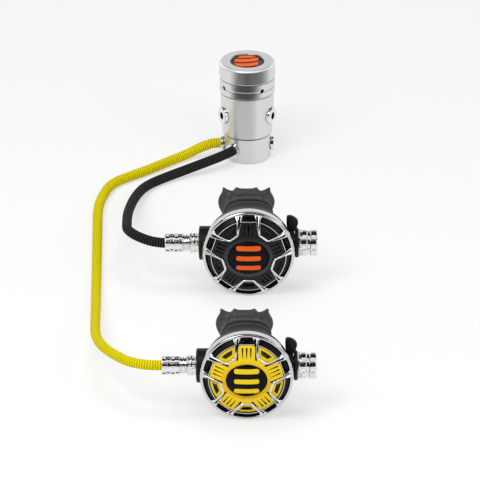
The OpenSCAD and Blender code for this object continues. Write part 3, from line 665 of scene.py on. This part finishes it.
# Cover plates with their painted shade and the painted light on the slope round the button.
COVER = {
    "primary": moulded(
        "black_cover", (0.012, 0.012, 0.014), 0.34, 0.02, cover_at=STAGE_AT["primary"],
        dark_windows=True,
    ),
    "octopus": moulded("yellow_cover", YELLOW, 0.34, 0.015, 0.92, cover_at=STAGE_AT["octopus"]),
}
SLOT_FINISH = {
    "satin_steel": SATIN["first_stage_body"],
    "bright_steel": bright_chrome("bright_plate"),
    "black_nylon": moulded("black_nylon", (0.007, 0.007, 0.008), 0.46),
    "yellow_nylon": moulded("yellow_nylon", YELLOW, 0.34, 0.015, 0.92),
    "orange_plastic": moulded("orange_inlay", (0.88, 0.12, 0.004), 0.34, 0.012, 0.9),
    "white_nylon": moulded("natural_nylon", (0.72, 0.70, 0.62), 0.45),
    "soft_rubber": soft_rubber("mouthpiece_rubber", (0.030, 0.030, 0.032), 0.46),
    "black_seal": soft_rubber("seal_rubber", (0.012, 0.012, 0.013), 0.40),
    "clear_silicone": soft_rubber("clear_silicone", (0.62, 0.62, 0.57), 0.42),
    "plated_brass": drawn_metal("turned_brass", (0.78, 0.60, 0.30), 0.26),
    "sintered_bronze": drawn_metal("sintered_bronze", (0.52, 0.36, 0.18), 0.62, 0.12),
    "spring_steel": drawn_metal("spring_steel", (0.62, 0.62, 0.63), 0.28),
    # Each braid's second colour is painted shade for its grooves.
    "black_braid": braided("black_braid", (0.048, 0.048, 0.050), (0.002, 0.002, 0.002)),
    "yellow_braid": braided("yellow_braid", (0.98, 0.87, 0.004), (0.50, 0.40, 0.001)),
}


# ------------ hoses


def hose(name, route, slot, node):
    """A braided hose: a round section carried along the smooth curve through the route, with a
    UV map that goes once round and counts millimetres along."""
    line = through(route, per_span=12)
    run = run_of(line)
    side, up = crossways(line, (0.0, 0.0, 1.0))
    rows, sides = len(line), 28
    angle = around(sides)[:, None]
    grid = line[:, None] + HOSE_D / 2 * (np.cos(angle) * side + np.sin(angle) * up)
    mesh = bpy.data.meshes.new(name)
    mesh.from_pydata(grid.reshape(-1, 3) * MM, [], grid_faces(rows, sides, caps=True))
    row, column = np.meshgrid(np.arange(rows - 1), np.arange(sides), indexing="ij")
    corner_u = np.stack([column, column + 1, column + 1, column], -1) / sides
    corner_v = run[np.stack([row, row, row + 1, row + 1], -1)]
    uv = np.zeros((len(mesh.loops), 2))
    uv[: corner_u.size] = np.column_stack([corner_u.ravel(), corner_v.ravel()])
    mesh.uv_layers.new(name="hose").data.foreach_set("uv", uv.reshape(-1))
    closed_up(mesh)
    smooth(mesh)
    obj = finished(new_object(name, mesh), "manifold", node, slot)


hose("black_hose", PRIMARY_ROUTE, "black_braid", "primary_hose")
hose("yellow_hose", OCTOPUS_ROUTE, "yellow_braid", "octopus_hose")


# ------------ second-stage cover

# Half the distance between the frames either side of a spoke, the radius of a window's flat inner
# side, and the radius and foremost depth of the ball that the button's face is part of.
SPOKE_HALF, WINDOW_R = 9.0, 21.8
BUTTON_BALL, BUTTON_POLE = 48.0, -9.2
TOWARD_FRONT = np.array([0.0, -1.0, 0.0])
BEAD = rounded([(-0.6, -0.75), (0.6, -0.75), (0.5, 0.5), (-0.5, 0.5)], 0.28, 3)
# A bead with a groove along its middle, which shows as two bright lines.
DOUBLE_BEAD = np.array([
    (-0.85, -0.75), (0.85, -0.75), (0.8, 0.35), (0.62, 0.52), (0.36, 0.42), (0.12, -0.1),
    (-0.12, -0.1), (-0.36, 0.42), (-0.62, 0.52), (-0.8, 0.35),
])


def on_dome(flat, proud=0.1):
    """(x, z) points laid on the cover's power curve, proud millimetres in front of it."""
    r = np.linalg.norm(flat, axis=1)
    y = -DOME_PROUD + DOME_FALL * (r / DOME_R) ** DOME_POWER
    return np.column_stack([flat[:, 0], y - proud, flat[:, 1]])


def turned_by(flat, degrees):
    """(x, z) points turned about the middle."""
    c, s = math.cos(math.radians(degrees)), math.sin(math.radians(degrees))
    return flat @ np.array([[c, s], [-s, c]])


def window_side(u, half):
    """How far from a window's middle line a line parallel to the spoke, half away from the
    spoke's middle, is at distance u along that line."""
    turn = math.radians(HALF_STEP)
    return (u * math.sin(turn) - half) / math.cos(turn)


def window_corner(half, r):
    """Where that line meets radius r."""
    turn = math.radians(HALF_STEP)
    u = half * math.sin(turn) + math.cos(turn) * math.sqrt(r * r - half * half)
    return u, window_side(u, half)


def straight(start, end, count=9):
    """count points from start to end."""
    t = np.linspace(0, 1, count)[:, None]
    return np.asarray(start, float) * (1 - t) + np.asarray(end, float) * t


def cover_ring(stage, at):
    """Chromed retaining ring, a double line round the inner sides of every window that runs out
    to the ring, an arc across it, and at each spoke a crossbar and two split wedges that tie
    the lines to the ring."""
    ring = [(35.7, 3.4), (36.3, 2.8), (36.3, 0.6), (36.8, 0.0), (37.7, 0.0), (38.6, 0.6),
            (RING_R, 1.6), (RING_R, 8.4), (38.5, 9.0), (37.1, 9.0), (37.1, 4.6), (35.7, 4.6)]
    parts = [turned("ring", ring, "Y", at, 0.35, 192)]

    def lay(flat, degrees, section=BEAD, scale=np.ones((1, 2))):
        path = on_dome(turned_by(flat, degrees))
        parts.append(swept("line", path, section, TOWARD_FRONT, scale, at))

    tip = np.array(window_corner(SPOKE_HALF, FRAME_END_R))
    v_in = window_side(WINDOW_R, SPOKE_HALF)
    corners = [tip * (1, -1), (WINDOW_R, -v_in), (WINDOW_R, v_in), tip]
    bends = rounded(corners, 1.6, 6, closed=False)
    runs = [straight(a, b, max(2, int(np.linalg.norm(b - a) / 0.8)))[:-1]
            for a, b in zip(bends[:-1], bends[1:])]
    window = np.vstack(runs + [bends[-1:]])
    u, v = window_corner(SPOKE_HALF, ARC_R)
    sweep = np.linspace(-math.atan2(v, u), math.atan2(v, u), 25)
    arc = ARC_R * np.column_stack([np.cos(sweep), np.sin(sweep)])
    heel = straight(window_corner(SPOKE_HALF + 0.3, 31.5), window_corner(SPOKE_HALF + 0.9, 36.3))
    for spoke in SPOKES:
        middle = spoke + HALF_STEP
        lay(window, middle, DOUBLE_BEAD)
        lay(arc, middle, BEAD * (0.5, 0.7))
        for side in (-1, 1):
            lay(heel * (1, side), middle, scale=straight((0.5, 0.9), (2.9, 0.9)))
            wedge = straight((23.5, side * 8.2), (36.2, side * 5.8), 14)
            lay(wedge, spoke, scale=straight((0.25, 0.9), (0.95, 0.9), 14))
            foot = straight((35.7, side * 5.2), (35.7, side * 9.4), 5)
            lay(foot, spoke, BEAD * (1.5, 0.9))
        lay(straight((31.25, -7), (31.25, 7)), spoke, BEAD * (0.5, 0.6))
    joined(f"{stage}_bright_cover_ring", parts, f"{stage}_stage", f"{stage}_cover_ring",
           "bright_steel", RING_CHROME[stage])


def button_face(x, z):
    """Depth of the button's face: part of a ball whose pole is BUTTON_POLE."""
    return BUTTON_POLE + BUTTON_BALL - np.sqrt(BUTTON_BALL ** 2 - x ** 2 - z ** 2)


def purge_button(stage, at):
    """Oval push button: eight rings of an ellipse widen over the ball's face onto a rounded rim,
    and the last three close its back."""
    shrink = np.array([0, 0.3, 0.6, 0.8, 0.94, 0.975, 0.993, 1.0, 1.0, 0.96, 0])[:, None]
    step = np.array([0, 0, 0, 0, 0, 0.1, 0.35, 0.75, 3.2, 3.6, 3.6])[:, None]
    x, z = (shrink * half * wave(around(120)) for half, wave in zip(BUTTON, (np.cos, np.sin)))
    in_front = np.arange(len(step))[:, None] < 8
    y = np.where(in_front, button_face(x, z) + step, -5.2 + step * 0.75)
    cap = surface("cap", np.stack([x, y, z], -1), at)
    stem = turned("stem", [(0, -3.2), (5, -3.2), (5, 7.1), (0, 7.1)], "Y", at, 0.5, 48)
    joined(f"{stage}_purge_cap", [cap, stem], f"{stage}_purge", f"{stage}_purge_button",
           "black_nylon", BUTTON_BLACK)


def resampled(outline, spacing):
    """The closed outline with points every spacing along it."""
    loop = np.vstack([outline, outline[:1]])
    run = run_of(loop)
    at = np.linspace(0, run[-1], max(8, int(run[-1] / spacing)), endpoint=False)
    return np.column_stack([np.interp(at, run, loop[:, k]) for k in range(2)])


def purge_bars(stage, at, slot):
    """Three bars on the button's face: rounded rectangles shrink over a rounded edge to the
    middle."""
    half = np.array([10.5, 2.1])
    box = half * np.array([(-1, -1), (1, -1), (1, 1), (-1, 1)])
    outline = resampled(rounded(box, 2.0, 8), 0.35)
    inset = np.array([half[1], 0.9, 0.45, 0.2, 0.05, 0.0, 0.0])[:, None, None]
    rise = np.array([1, 1, 0.97, 0.85, 0.6, 0.3, -0.5])[:, None]
    x, z = np.moveaxis(outline * (1 - inset / half), -1, 0)
    x[0] = z[0] = 0
    parts = []
    for level in (-8.9, 0.0, 8.9):
        y = button_face(x, z + level) - rise * 0.45
        parts.append(surface("bar", np.stack([x, y, z + level], -1), at, caps=True))
    joined(f"{stage}_button_bars", parts, f"{stage}_purge", f"{stage}_purge_bars", slot)


# ------------ second-stage case


def ease(t):
    """Smooth step from 0 to 1."""
    t = np.clip(t, 0, 1)
    return t * t * (3 - 2 * t)


def oval_rings(depth, a, b, power, count, rise=MOUTH_Z):
    """Grid of superellipses with half sizes a and b at each depth, centred rise above the ring's
    middle; depth, a and b are columns."""
    x, z = superellipse(around(count), a, b, power)
    return np.stack([x, depth + 0 * x, z + rise], -1)


def case_shell(at):
    """Shell lofted from the ring's round back to the mouthpiece's oval neck: each section is a
    superellipse whose half sizes, centre and power ease from one to the other, and the inside
    runs back a wall thickness smaller."""
    depth = np.array([8.4, 9.2, 9.3, 11, 13, 16, 20, 24, 28, 32, 36, 40, 43, 46, 49, 51.5, 52])
    t = ease((depth[:, None] - 11) / 34.0)
    a, b = (37.8 + (neck - 37.8) * t for neck in (19.4, 15.9))
    for half in (a, b):
        half[:2] = 36.9
        half[-1] -= 0.4
    outer, inner = (
        oval_rings(depth[:, None], a - wall, b - wall, 2 + 0.8 * t, 160, MOUTH_Z * t)
        for wall in (0, 2.3)
    )
    return surface("shell", np.concatenate([outer, inner[::-1]]), at, along=True)


def about_barrel(name, x, r, at, along=False, caps=False):
    """A surface round the barrel's axis, through a column x of stations and a grid r of radii."""
    angle = around(r.shape[1])
    y, z = r * np.cos(angle), r * np.sin(angle)
    return surface(name, np.stack([x + 0 * y, BARREL_Y + y, z], -1), at, along, caps)


def boss(x0, x1, radius, edge, dome, at):
    """A round housing along X: its side ends in a quarter-circle edge and a face that stands
    dome proud in the middle, as a parabola."""
    sign = math.copysign(1, x1 - x0)
    turn = np.linspace(0, math.pi / 2, 6)
    flat = radius - edge
    rings = np.linspace(flat, 0, 5)[1:]
    r = np.concatenate([[0, radius], flat + edge * np.cos(turn), rings])
    rim = x1 - sign * (dome + edge)
    x = np.concatenate([
        [x0, x0], rim + sign * edge * np.sin(turn), x1 - sign * dome * (rings / flat) ** 2
    ])
    return about_barrel("boss", x[:, None], r[:, None] * np.ones(96), at)


def case(stage, at):
    """Shell, a boss at each end of the barrel, the tee's port below and the oval spigot."""
    depth = np.array([50.5, 61.6, 62, 62, 61.6, 50.5])[:, None]
    a = np.array([16.8, 16.8, 16.4, 14.4, 14.3, 14.3])[:, None]
    port = [(9.5, -32.5), (11.5, -32.5), (11.5, -6), (9.5, -6)]
    parts = [
        case_shell(at),
        boss(-22, -42.7, 14.4, 1.3, 0.7, at),
        boss(22, 38.9, 12.7, 1.0, 0.0, at),
        turned("port", port, "Z", at + np.array([0, 40.3, 0]), 0.5, 64),
        surface("spigot", oval_rings(depth, a, a - 2.8, 2.6, 96), at, along=True),
    ]
    joined(f"{stage}_moulded_case", parts, f"{stage}_stage", f"{stage}_case", "black_nylon")


# Outline of the mouthpiece's flange about its middle, right half from the top down: a scalloped
# top edge with two pairs of tips, a bulging side and a narrower foot.
FLANGE_HALF = [
    (0, 18.0), (5, 18.1), (7.6, 18.9), (8.9, 18.9), (10.2, 17.2), (12, 15.6), (15.5, 16.2),
    (18.8, 17.9), (20.2, 17.6), (20.7, 14), (23.2, 8.6), (24.1, 4.2), (23.4, 0), (21.6, -4),
    (19, -8.5), (15.5, -12.2), (10, -14.4), (0, -15.2),
]
# The mouthpiece's sections: depth, half width, half height, share of the flange's own outline.
MOUTH_SECTIONS = np.array([
    (52.2, 19.7, 15.6, 0), (52.7, 20.2, 16.1, 0), (54.6, 20.4, 16.3, 0), (56, 20.2, 16.1, 0),
    (60, 20.2, 16.1, 0), (62, 20.0, 15.9, 0), (65, 19.4, 15.4, 0), (68, 18.9, 15.0, 0.0),
    (70, 18.9, 15.0, 0.04), (71.6, 19.2, 15.1, 0.22), (72.8, 20, 15.2, 0.62),
    (73.6, 20, 15.2, 0.88), (74.2, 20, 15.2, 0.965), (74.9, 20, 15, 0.993), (75.6, 20, 15, 1.0),
    (76.4, 20, 15, 0.992), (77.0, 20, 15, 0.95), (77.2, 18, 12, 0.7),
    (77.4, 15, 10, 0.25), (77.6, 13, 8.6, 0), (76.8, 12.3, 7.9, 0), (74, 12, 7.5, 0),
    (66, 12.4, 8, 0), (62.2, 14, 11, 0), (62.1, 16.9, 14.1, 0), (54, 16.9, 14.1, 0),
    (52.4, 17.1, 14.3, 0),
])


def flange_radius(angle):
    """Radius of the flange at an angle from the right, read off the smooth closed outline."""
    right = np.array(FLANGE_HALF, float)
    loop = np.vstack([right, right[1:-1][::-1] * (-1, 1)])
    line = through(np.vstack([loop[-2:], loop, loop[:3]]), per_span=10)
    bearing, radius = np.arctan2(line[:, 1], line[:, 0]), np.hypot(line[:, 0], line[:, 1])
    order = np.argsort(bearing)
    return np.interp((angle + math.pi) % TAU - math.pi, bearing[order], radius[order], period=TAU)


def mouthpiece(stage, at):
    """Rubber mouthpiece: sections run along the outside of the sleeve, over the waist, out to the
    scalloped flange, round its edge and back down inside the bore. The flange's wings bend back
    and the whole mouth end leans a little to the left."""
    angle = around(288)
    flange = flange_radius(angle)
    depth, a, b, share = (MOUTH_SECTIONS[:, k][:, None] for k in range(4))
    x, z = superellipse(angle, a, b, 2.8)
    x = x + (flange * np.cos(angle) - x) * share
    z = z + (flange * np.sin(angle) - z) * share
    bend = 4.4 * (np.abs(x) / 24.0) ** 2.2 * ease((depth - 64) / 8)
    x = x - MOUTH_LEAN * ease((depth - 61) / 11)
    parts = [surface("skin", np.stack([x, depth + bend, z + MOUTH_Z], -1), at, along=True)]
    parts += [bite_tab(15.8 * side - MOUTH_LEAN, at) for side in (-1, 1)]
    joined(f"{stage}_moulded_mouthpiece", parts, f"{stage}_stage", f"{stage}_mouthpiece",
           "soft_rubber", sharp_angle=60)


def bite_tab(middle, at):
    """A bite tab: a superellipsoid 8 wide, 15 tall and 15 long with a bite ridge at its end."""
    v = np.linspace(-math.pi / 2, math.pi / 2, 25)[:, None]
    u = around(48)

    def power(t, p):
        return np.sign(t) * np.abs(t) ** p

    x = 4.0 * power(np.cos(v), 0.5) * power(np.cos(u), 0.6)
    z = 7.2 * power(np.cos(v), 0.5) * power(np.sin(u), 0.6)
    y = 7.0 * power(np.sin(v), 0.6) + 0 * u
    x = x * (1 + 0.18 * ease((y - 2) / 4))
    return surface("tab", np.stack([x + middle, y + 80.2, z + MOUTH_Z], -1), at)


def tie_head(at):
    """The tie's head: a box with rounded edges, as superellipse sections from bottom to top."""
    half, edge = (1.7, 2.6, 2.75), 0.6
    turn = np.linspace(math.pi / 2, 0, 5)
    foot = -half[2] + edge * (1 - np.sin(turn))
    pull = edge * (1 - np.cos(turn))
    z = np.concatenate([foot, -foot[::-1]])[:, None]
    inset = np.concatenate([pull, pull[::-1]])[:, None]
    x, y = superellipse(around(40), half[0] - inset, half[1] - inset, 8)
    grid = np.stack([x + 21.9, y + 57.2, z + MOUTH_Z - 3.75 + 0 * x], -1)
    return surface("head", grid, at, caps=True)


def tie(stage, at):
    """Cable tie round the mouthpiece's sleeve: a flat band with fine cross ribs and its head."""
    ribs = 0.12 * (np.cos(around(288) * 72) > 0)
    depth = np.array([55.4, 55.7, 58.9, 59.2, 59.2, 55.4])[:, None]
    a = np.array([20.7, 20.95, 20.95, 20.7, 20.0, 20.0])[:, None]
    band = oval_rings(depth, a, a - 4.1, 2.8, 288, 0)
    band[..., 0] *= 1 + ribs / 21
    band[..., 2] = band[..., 2] * (1 + ribs / 17) + MOUTH_Z
    joined(f"{stage}_cable_tie", [surface("band", band, at, along=True), tie_head(at)],
           f"{stage}_stage", f"{stage}_mouthpiece_tie", "black_nylon")


# ------------ barrel fittings


def teeth(count, half, blend, steps, phase=0.0):
    """1 within half of the middle of each of count sectors round a circle, falling to 0 within
    blend, both as shares of a sector."""
    return ease((half - np.abs((around(steps) * count / TAU + phase) % 1 - 0.5)) / blend)


def stations(profile, count):
    """Columns of x and radius along a profile: its corners and count even steps."""
    profile = np.array(profile)
    run = run_of(profile)
    fine = np.unique(np.concatenate([run, np.linspace(0, run[-1], count)]))
    return (np.interp(fine, run, profile[:, k])[:, None] for k in (0, 1))


def ferrule(at):
    """Crimped hose ferrule: four rows of eight pressed pads, alternate rows set round by a sixth
    of their spacing, then a ringed neck and the stem."""
    start, end, first_row, row_length = -71, -55.6, -70.6, 3.7
    x = np.linspace(start, end, 110)[:, None]
    row = (x - first_row) / row_length
    shift = np.where(np.floor(row) % 2 > 0, 0.17, 0.0)
    dent = ease((0.37 - np.abs(row % 1 - 0.5)) / 0.07) * teeth(8, 0.34, 0.08, 240, shift)
    inward = np.minimum(1, np.minimum(x - start, end - x) / 0.7)
    crimp = about_barrel("crimp", x, 8.0 - 0.9 * dent - 0.6 * (1 - inward) ** 2, at, caps=True)
    neck = [(0, -56), (6.6, -56), (6.6, -55.4), (7.8, -55.2), (7.8, -54.5), (6.4, -54.2),
            (6.4, -53.3), (7.8, -53.1), (7.8, -52.2), (6.4, -51.9), (6.4, -51.1), (7.6, -50.9),
            (7.6, -50.0), (4.95, -50.0), (4.95, -43.4), (3, -43.2), (3, -36.3), (0, -36.3)]
    return [crimp, turned("neck", neck, "X", at + np.array([0, BARREL_Y, 0]), 0.3, 96)]


def swivel_nut(stage, at):
    """Swivel nut: its radius steps between two sharp ridges and a notched waist, where it falls
    in twelve shallow flats."""
    x, base = stations([
        (-49.6, 5.05), (-49.6, 8.4), (-49.3, 9.1), (-48.6, 9.1), (-48.3, 8.2), (-46.9, 8.2),
        (-46.6, 9.1), (-45.7, 9.1), (-45.4, 8.0), (-43.1, 8.0), (-43.1, 5.05),
    ], 80)
    waist = (base > 6) * ease((8.7 - base) / 0.4)
    r = base - 0.7 * teeth(12, 0.32, 0.08, 240) * waist
    nut = about_barrel(f"{stage}_bright_nut", x, r, at, along=True)
    finished(nut, f"{stage}_stage", f"{stage}_swivel_nut", "bright_steel")


def adjusting_knob(stage, at):
    """Lobed knob: the radius falls in eight smooth hollows, in a shallow groove between two rows
    and in twenty-four small slots round the inner rim."""
    x, base = stations([
        (43.2, 7.0), (43.2, 10.8), (43.5, 11.1), (44.6, 11.1), (44.7, 9.8), (45.1, 9.8),
        (45.2, 11.0), (45.6, 11.4), (49.3, 11.4), (49.9, 10.9), (50.2, 10.5), (52.2, 10.5),
        (52.5, 10.9), (53.1, 11.4), (57.4, 11.4), (58.1, 11.0), (58.5, 10.2), (58.5, 7.2),
        (58.0, 6.8), (57.7, 6.2), (57.7, 0.01),
    ], 110)
    outside = ease((base - 9.0) / 1.4)
    grip, rim = ease((x - 45.1) / 0.2) * outside, ease((44.7 - x) / 0.1) * outside
    hollow, slot = teeth(8, 0.26, 0.12, 288, 0.5), teeth(24, 0.28, 0.1, 288)
    head = about_barrel("head", x, base - 1.2 * hollow * grip - 0.8 * slot * rim, at, caps=True)
    screw = turned("screw", [(0, 33.6), (4.5, 33.6), (4.5, 44), (0, 44)], "X",
                   at + np.array([0, BARREL_Y, 0]), 0.4, 48)
    joined(f"{stage}_bright_knob", [head, screw], f"{stage}_knob", f"{stage}_adjusting_knob",
           "bright_steel")


def venturi_lever(stage, at):
    """Lever collar with a rounded rim, and its paddle: the paddle's outline is a rounded thumb
    pad with a waved outer edge, thickened about the barrel's plane."""
    turn = np.linspace(-math.pi / 2, math.pi / 2, 13)
    r = np.concatenate([[8.25], 11.2 + 1.4 * np.cos(turn), [8.25, 8.25]])
    x = np.concatenate([[39.2], 40.95 + 1.75 * np.sin(turn), [42.7, 39.2]])
    collar = about_barrel("collar", x[:, None], r[:, None] * np.ones(96), at)
    edge = [(33.2, 12.6), (32.3, 16.4), (32.1, 19.3), (32.3, 24.2), (33.3, 25.2), (35.1, 25.4),
            (37.0, 24.9), (39.0, 23.8), (40.9, 22.3), (41.9, 20.5), (42.2, 18.6), (41.5, 16.9),
            (41.1, 15.6), (41.3, 14.0), (40.9, 12.4), (40.9, 9.5), (39.6, 9.5), (39.4, 12.2)]
    outline = rounded(edge, 0.9, 4)
    middle = outline.mean(0)
    depth = np.array([-2.6, -2.6, -2.35, -1.7, 1.7, 2.35, 2.6, 2.6])[:, None]
    shrink = np.array([0.0, 0.88, 0.96, 1, 1, 0.96, 0.88, 0.0])[:, None, None]
    x, z = np.moveaxis(middle + (outline - middle) * shrink, -1, 0)
    paddle = surface("paddle", np.stack([x, depth + BARREL_Y + 0 * x, z], -1), at)
    joined(f"{stage}_moulded_lever", [collar, paddle], f"{stage}_venturi",
           f"{stage}_venturi_lever", "black_nylon")


# ------------ both second stages

for stage, plate_slot, bars_slot in (
    ("primary", "black_nylon", "orange_plastic"), ("octopus", "yellow_nylon", "yellow_nylon"),
):
    at = STAGE_AT[stage]
    cover_ring(stage, at)
    dressed(f"{stage}_cover_plate", plate_slot, 0.25, material=COVER[stage])
    purge_button(stage, at)
    purge_bars(stage, at, bars_slot)
    for make in (case, mouthpiece, tie, swivel_nut, adjusting_knob, venturi_lever):
        make(stage, at)
    dressed(f"{stage}_exhaust_tee", "soft_rubber", 1.2, 3)

joined("crimped_ferrules", ferrule(STAGE_AT["primary"]) + ferrule(STAGE_AT["octopus"]),
       "manifold", "hose_ferrules", "bright_steel")


# ------------ first stage

for node, slot, width, segments, material in (
    ("turret", "satin_steel", 0.5, 2, SATIN["turret"]),
    ("first_stage_body", "satin_steel", 0.4, 2, SATIN["first_stage_body"]),
    ("spring_carrier", "satin_steel", 0.25, 2, SATIN["spring_carrier"]),
    ("end_cap", "satin_steel", 0.2, 2, SATIN["end_cap"]),
    ("lp_port_plugs", "bright_steel", 0.35, 2, PLUG_CHROME),
    ("hose_fittings", "bright_steel", 0.3, 2, PLUG_CHROME),
    ("high_pressure_plugs", "bright_steel", 0.4, 2, PLUG_CHROME),
    ("din_connector", "bright_steel", 0.3, 2, PLUG_CHROME),
    ("din_wheel", "soft_rubber", 1.0, 3, None),
    ("pressure_boot", "soft_rubber", 0.5, 3, SLOT_FINISH["black_seal"]),
    ("boot_inlays", "orange_plastic", 0.35, 3, None),
):
    dressed(node, slot, width, segments, material)


# ------------ the rest of the frame

slots = {part["node"]: part["material_slot"] for part in frame["record"]["subparts"]}
for node, obj in frame["nodes"].items():
    obj.data.materials.clear()
    obj.data.materials.append(SLOT_FINISH[slots[node]])


# ------------ stage and light

# The surround's strength as a light, the brightness of its dark part in reflections, and the
# sines of the heights at which that part starts, behind and in front, and where the bright
# overhead box starts in front.
AMBIENT = 0.4
GLOOM = 0.02
GLOOM_BEHIND = 0.50
GLOOM_IN_FRONT = 0.15
GLOOM_BLEND = 0.08
OVERHEAD_FROM = 0.85


def flat_material(name, colour, camera_glow):
    """Plain matt paint; camera_glow lifts it towards white for the camera and in reflections."""
    f = Finish(name, Base_Color=(*colour, 1), Roughness=0.9, Specular_IOR_Level=0.1)
    glow = f.node("ShaderNodeEmission", {}, {"Color": (1, 1, 1, 1), "Strength": 1.0})
    mix = f.node(
        "ShaderNodeMixShader", {},
        {0: f.shows_background() * camera_glow, 1: f.shader.outputs[0], 2: glow.outputs[0]},
    )
    f.feed(f.tree.nodes["Material Output"].inputs["Surface"], mix.outputs[0])
    return f.material


def floor():
    """A plain square that reaches past every view, 80 metres wide."""
    half = 40.0
    mesh = bpy.data.meshes.new("studio_floor")
    mesh.from_pydata(
        [(-half, -half, 0), (half, -half, 0), (half, half, 0), (-half, half, 0)], [],
        [(0, 1, 2, 3)],
    )
    obj = new_object("studio_floor", mesh)
    mesh.materials.append(flat_material("floor_paint", (0.93, 0.93, 0.93), 0.55))


def lamp(name, centre, size, watts, aim=(0, -0.25, 0.03)):
    """A square soft box at centre, facing aim; lengths in metres."""
    data = bpy.data.lights.new(name, "AREA")
    data.shape = "SQUARE"
    data.size = size
    data.energy = watts
    obj = bpy.data.objects.new(name, data)
    bpy.context.scene.collection.objects.link(obj)
    obj.location = centre
    towards = np.array(aim, float) - np.array(centre, float)
    flat = math.hypot(towards[0], towards[1])
    obj.rotation_euler = (
        math.atan2(flat, -towards[2]), 0, math.atan2(towards[1], towards[0]) - math.pi / 2
    )
    return obj


def world():
    """Soft white surround: white to the camera, a gentle light, and in reflections white low
    down, dark above that, and bright again overhead in front."""
    made = bpy.data.worlds.new("studio_surround")
    bpy.context.scene.world = made
    made.use_nodes = True
    made.node_tree.nodes.clear()
    w = Nodes(made.node_tree)
    where = w.node("ShaderNodeTexCoord").outputs["Generated"]
    _, back, height = w.parts(where)
    in_front = back < 0.0
    dark = height.over(GLOOM_IN_FRONT, GLOOM_BLEND) * (1 - height.over(OVERHEAD_FROM, 0.05))
    gloom = in_front * dark + (1 - in_front) * height.over(GLOOM_BEHIND, GLOOM_BLEND)
    path = w.node("ShaderNodeLightPath").outputs
    seen = (Value(w, path["Is Camera Ray"]) + Value(w, path["Is Transmission Ray"])).clipped()
    glossy = Value(w, path["Is Glossy Ray"])
    unseen = glossy * (1 - (1 - GLOOM) * gloom) + (1 - glossy) * AMBIENT
    strength = seen + (1 - seen) * unseen
    paint = w.node("ShaderNodeBackground", {}, {"Color": (1, 1, 1, 1), "Strength": strength})
    w.node("ShaderNodeOutputWorld", {}, {"Surface": paint.outputs[0]})


floor()
world()
lamp("key_box", (-0.7, -1.1, 1.3), 0.9, 12)
lamp("fill_box", (1.0, -0.9, 0.9), 0.8, 4)
top_box = lamp("top_box", (0.0, 0.1, 1.6), 1.0, 8, aim=(0, -0.25, 0.0))
top_box.visible_glossy = False

bpy.context.scene.view_settings.view_transform = "Standard"
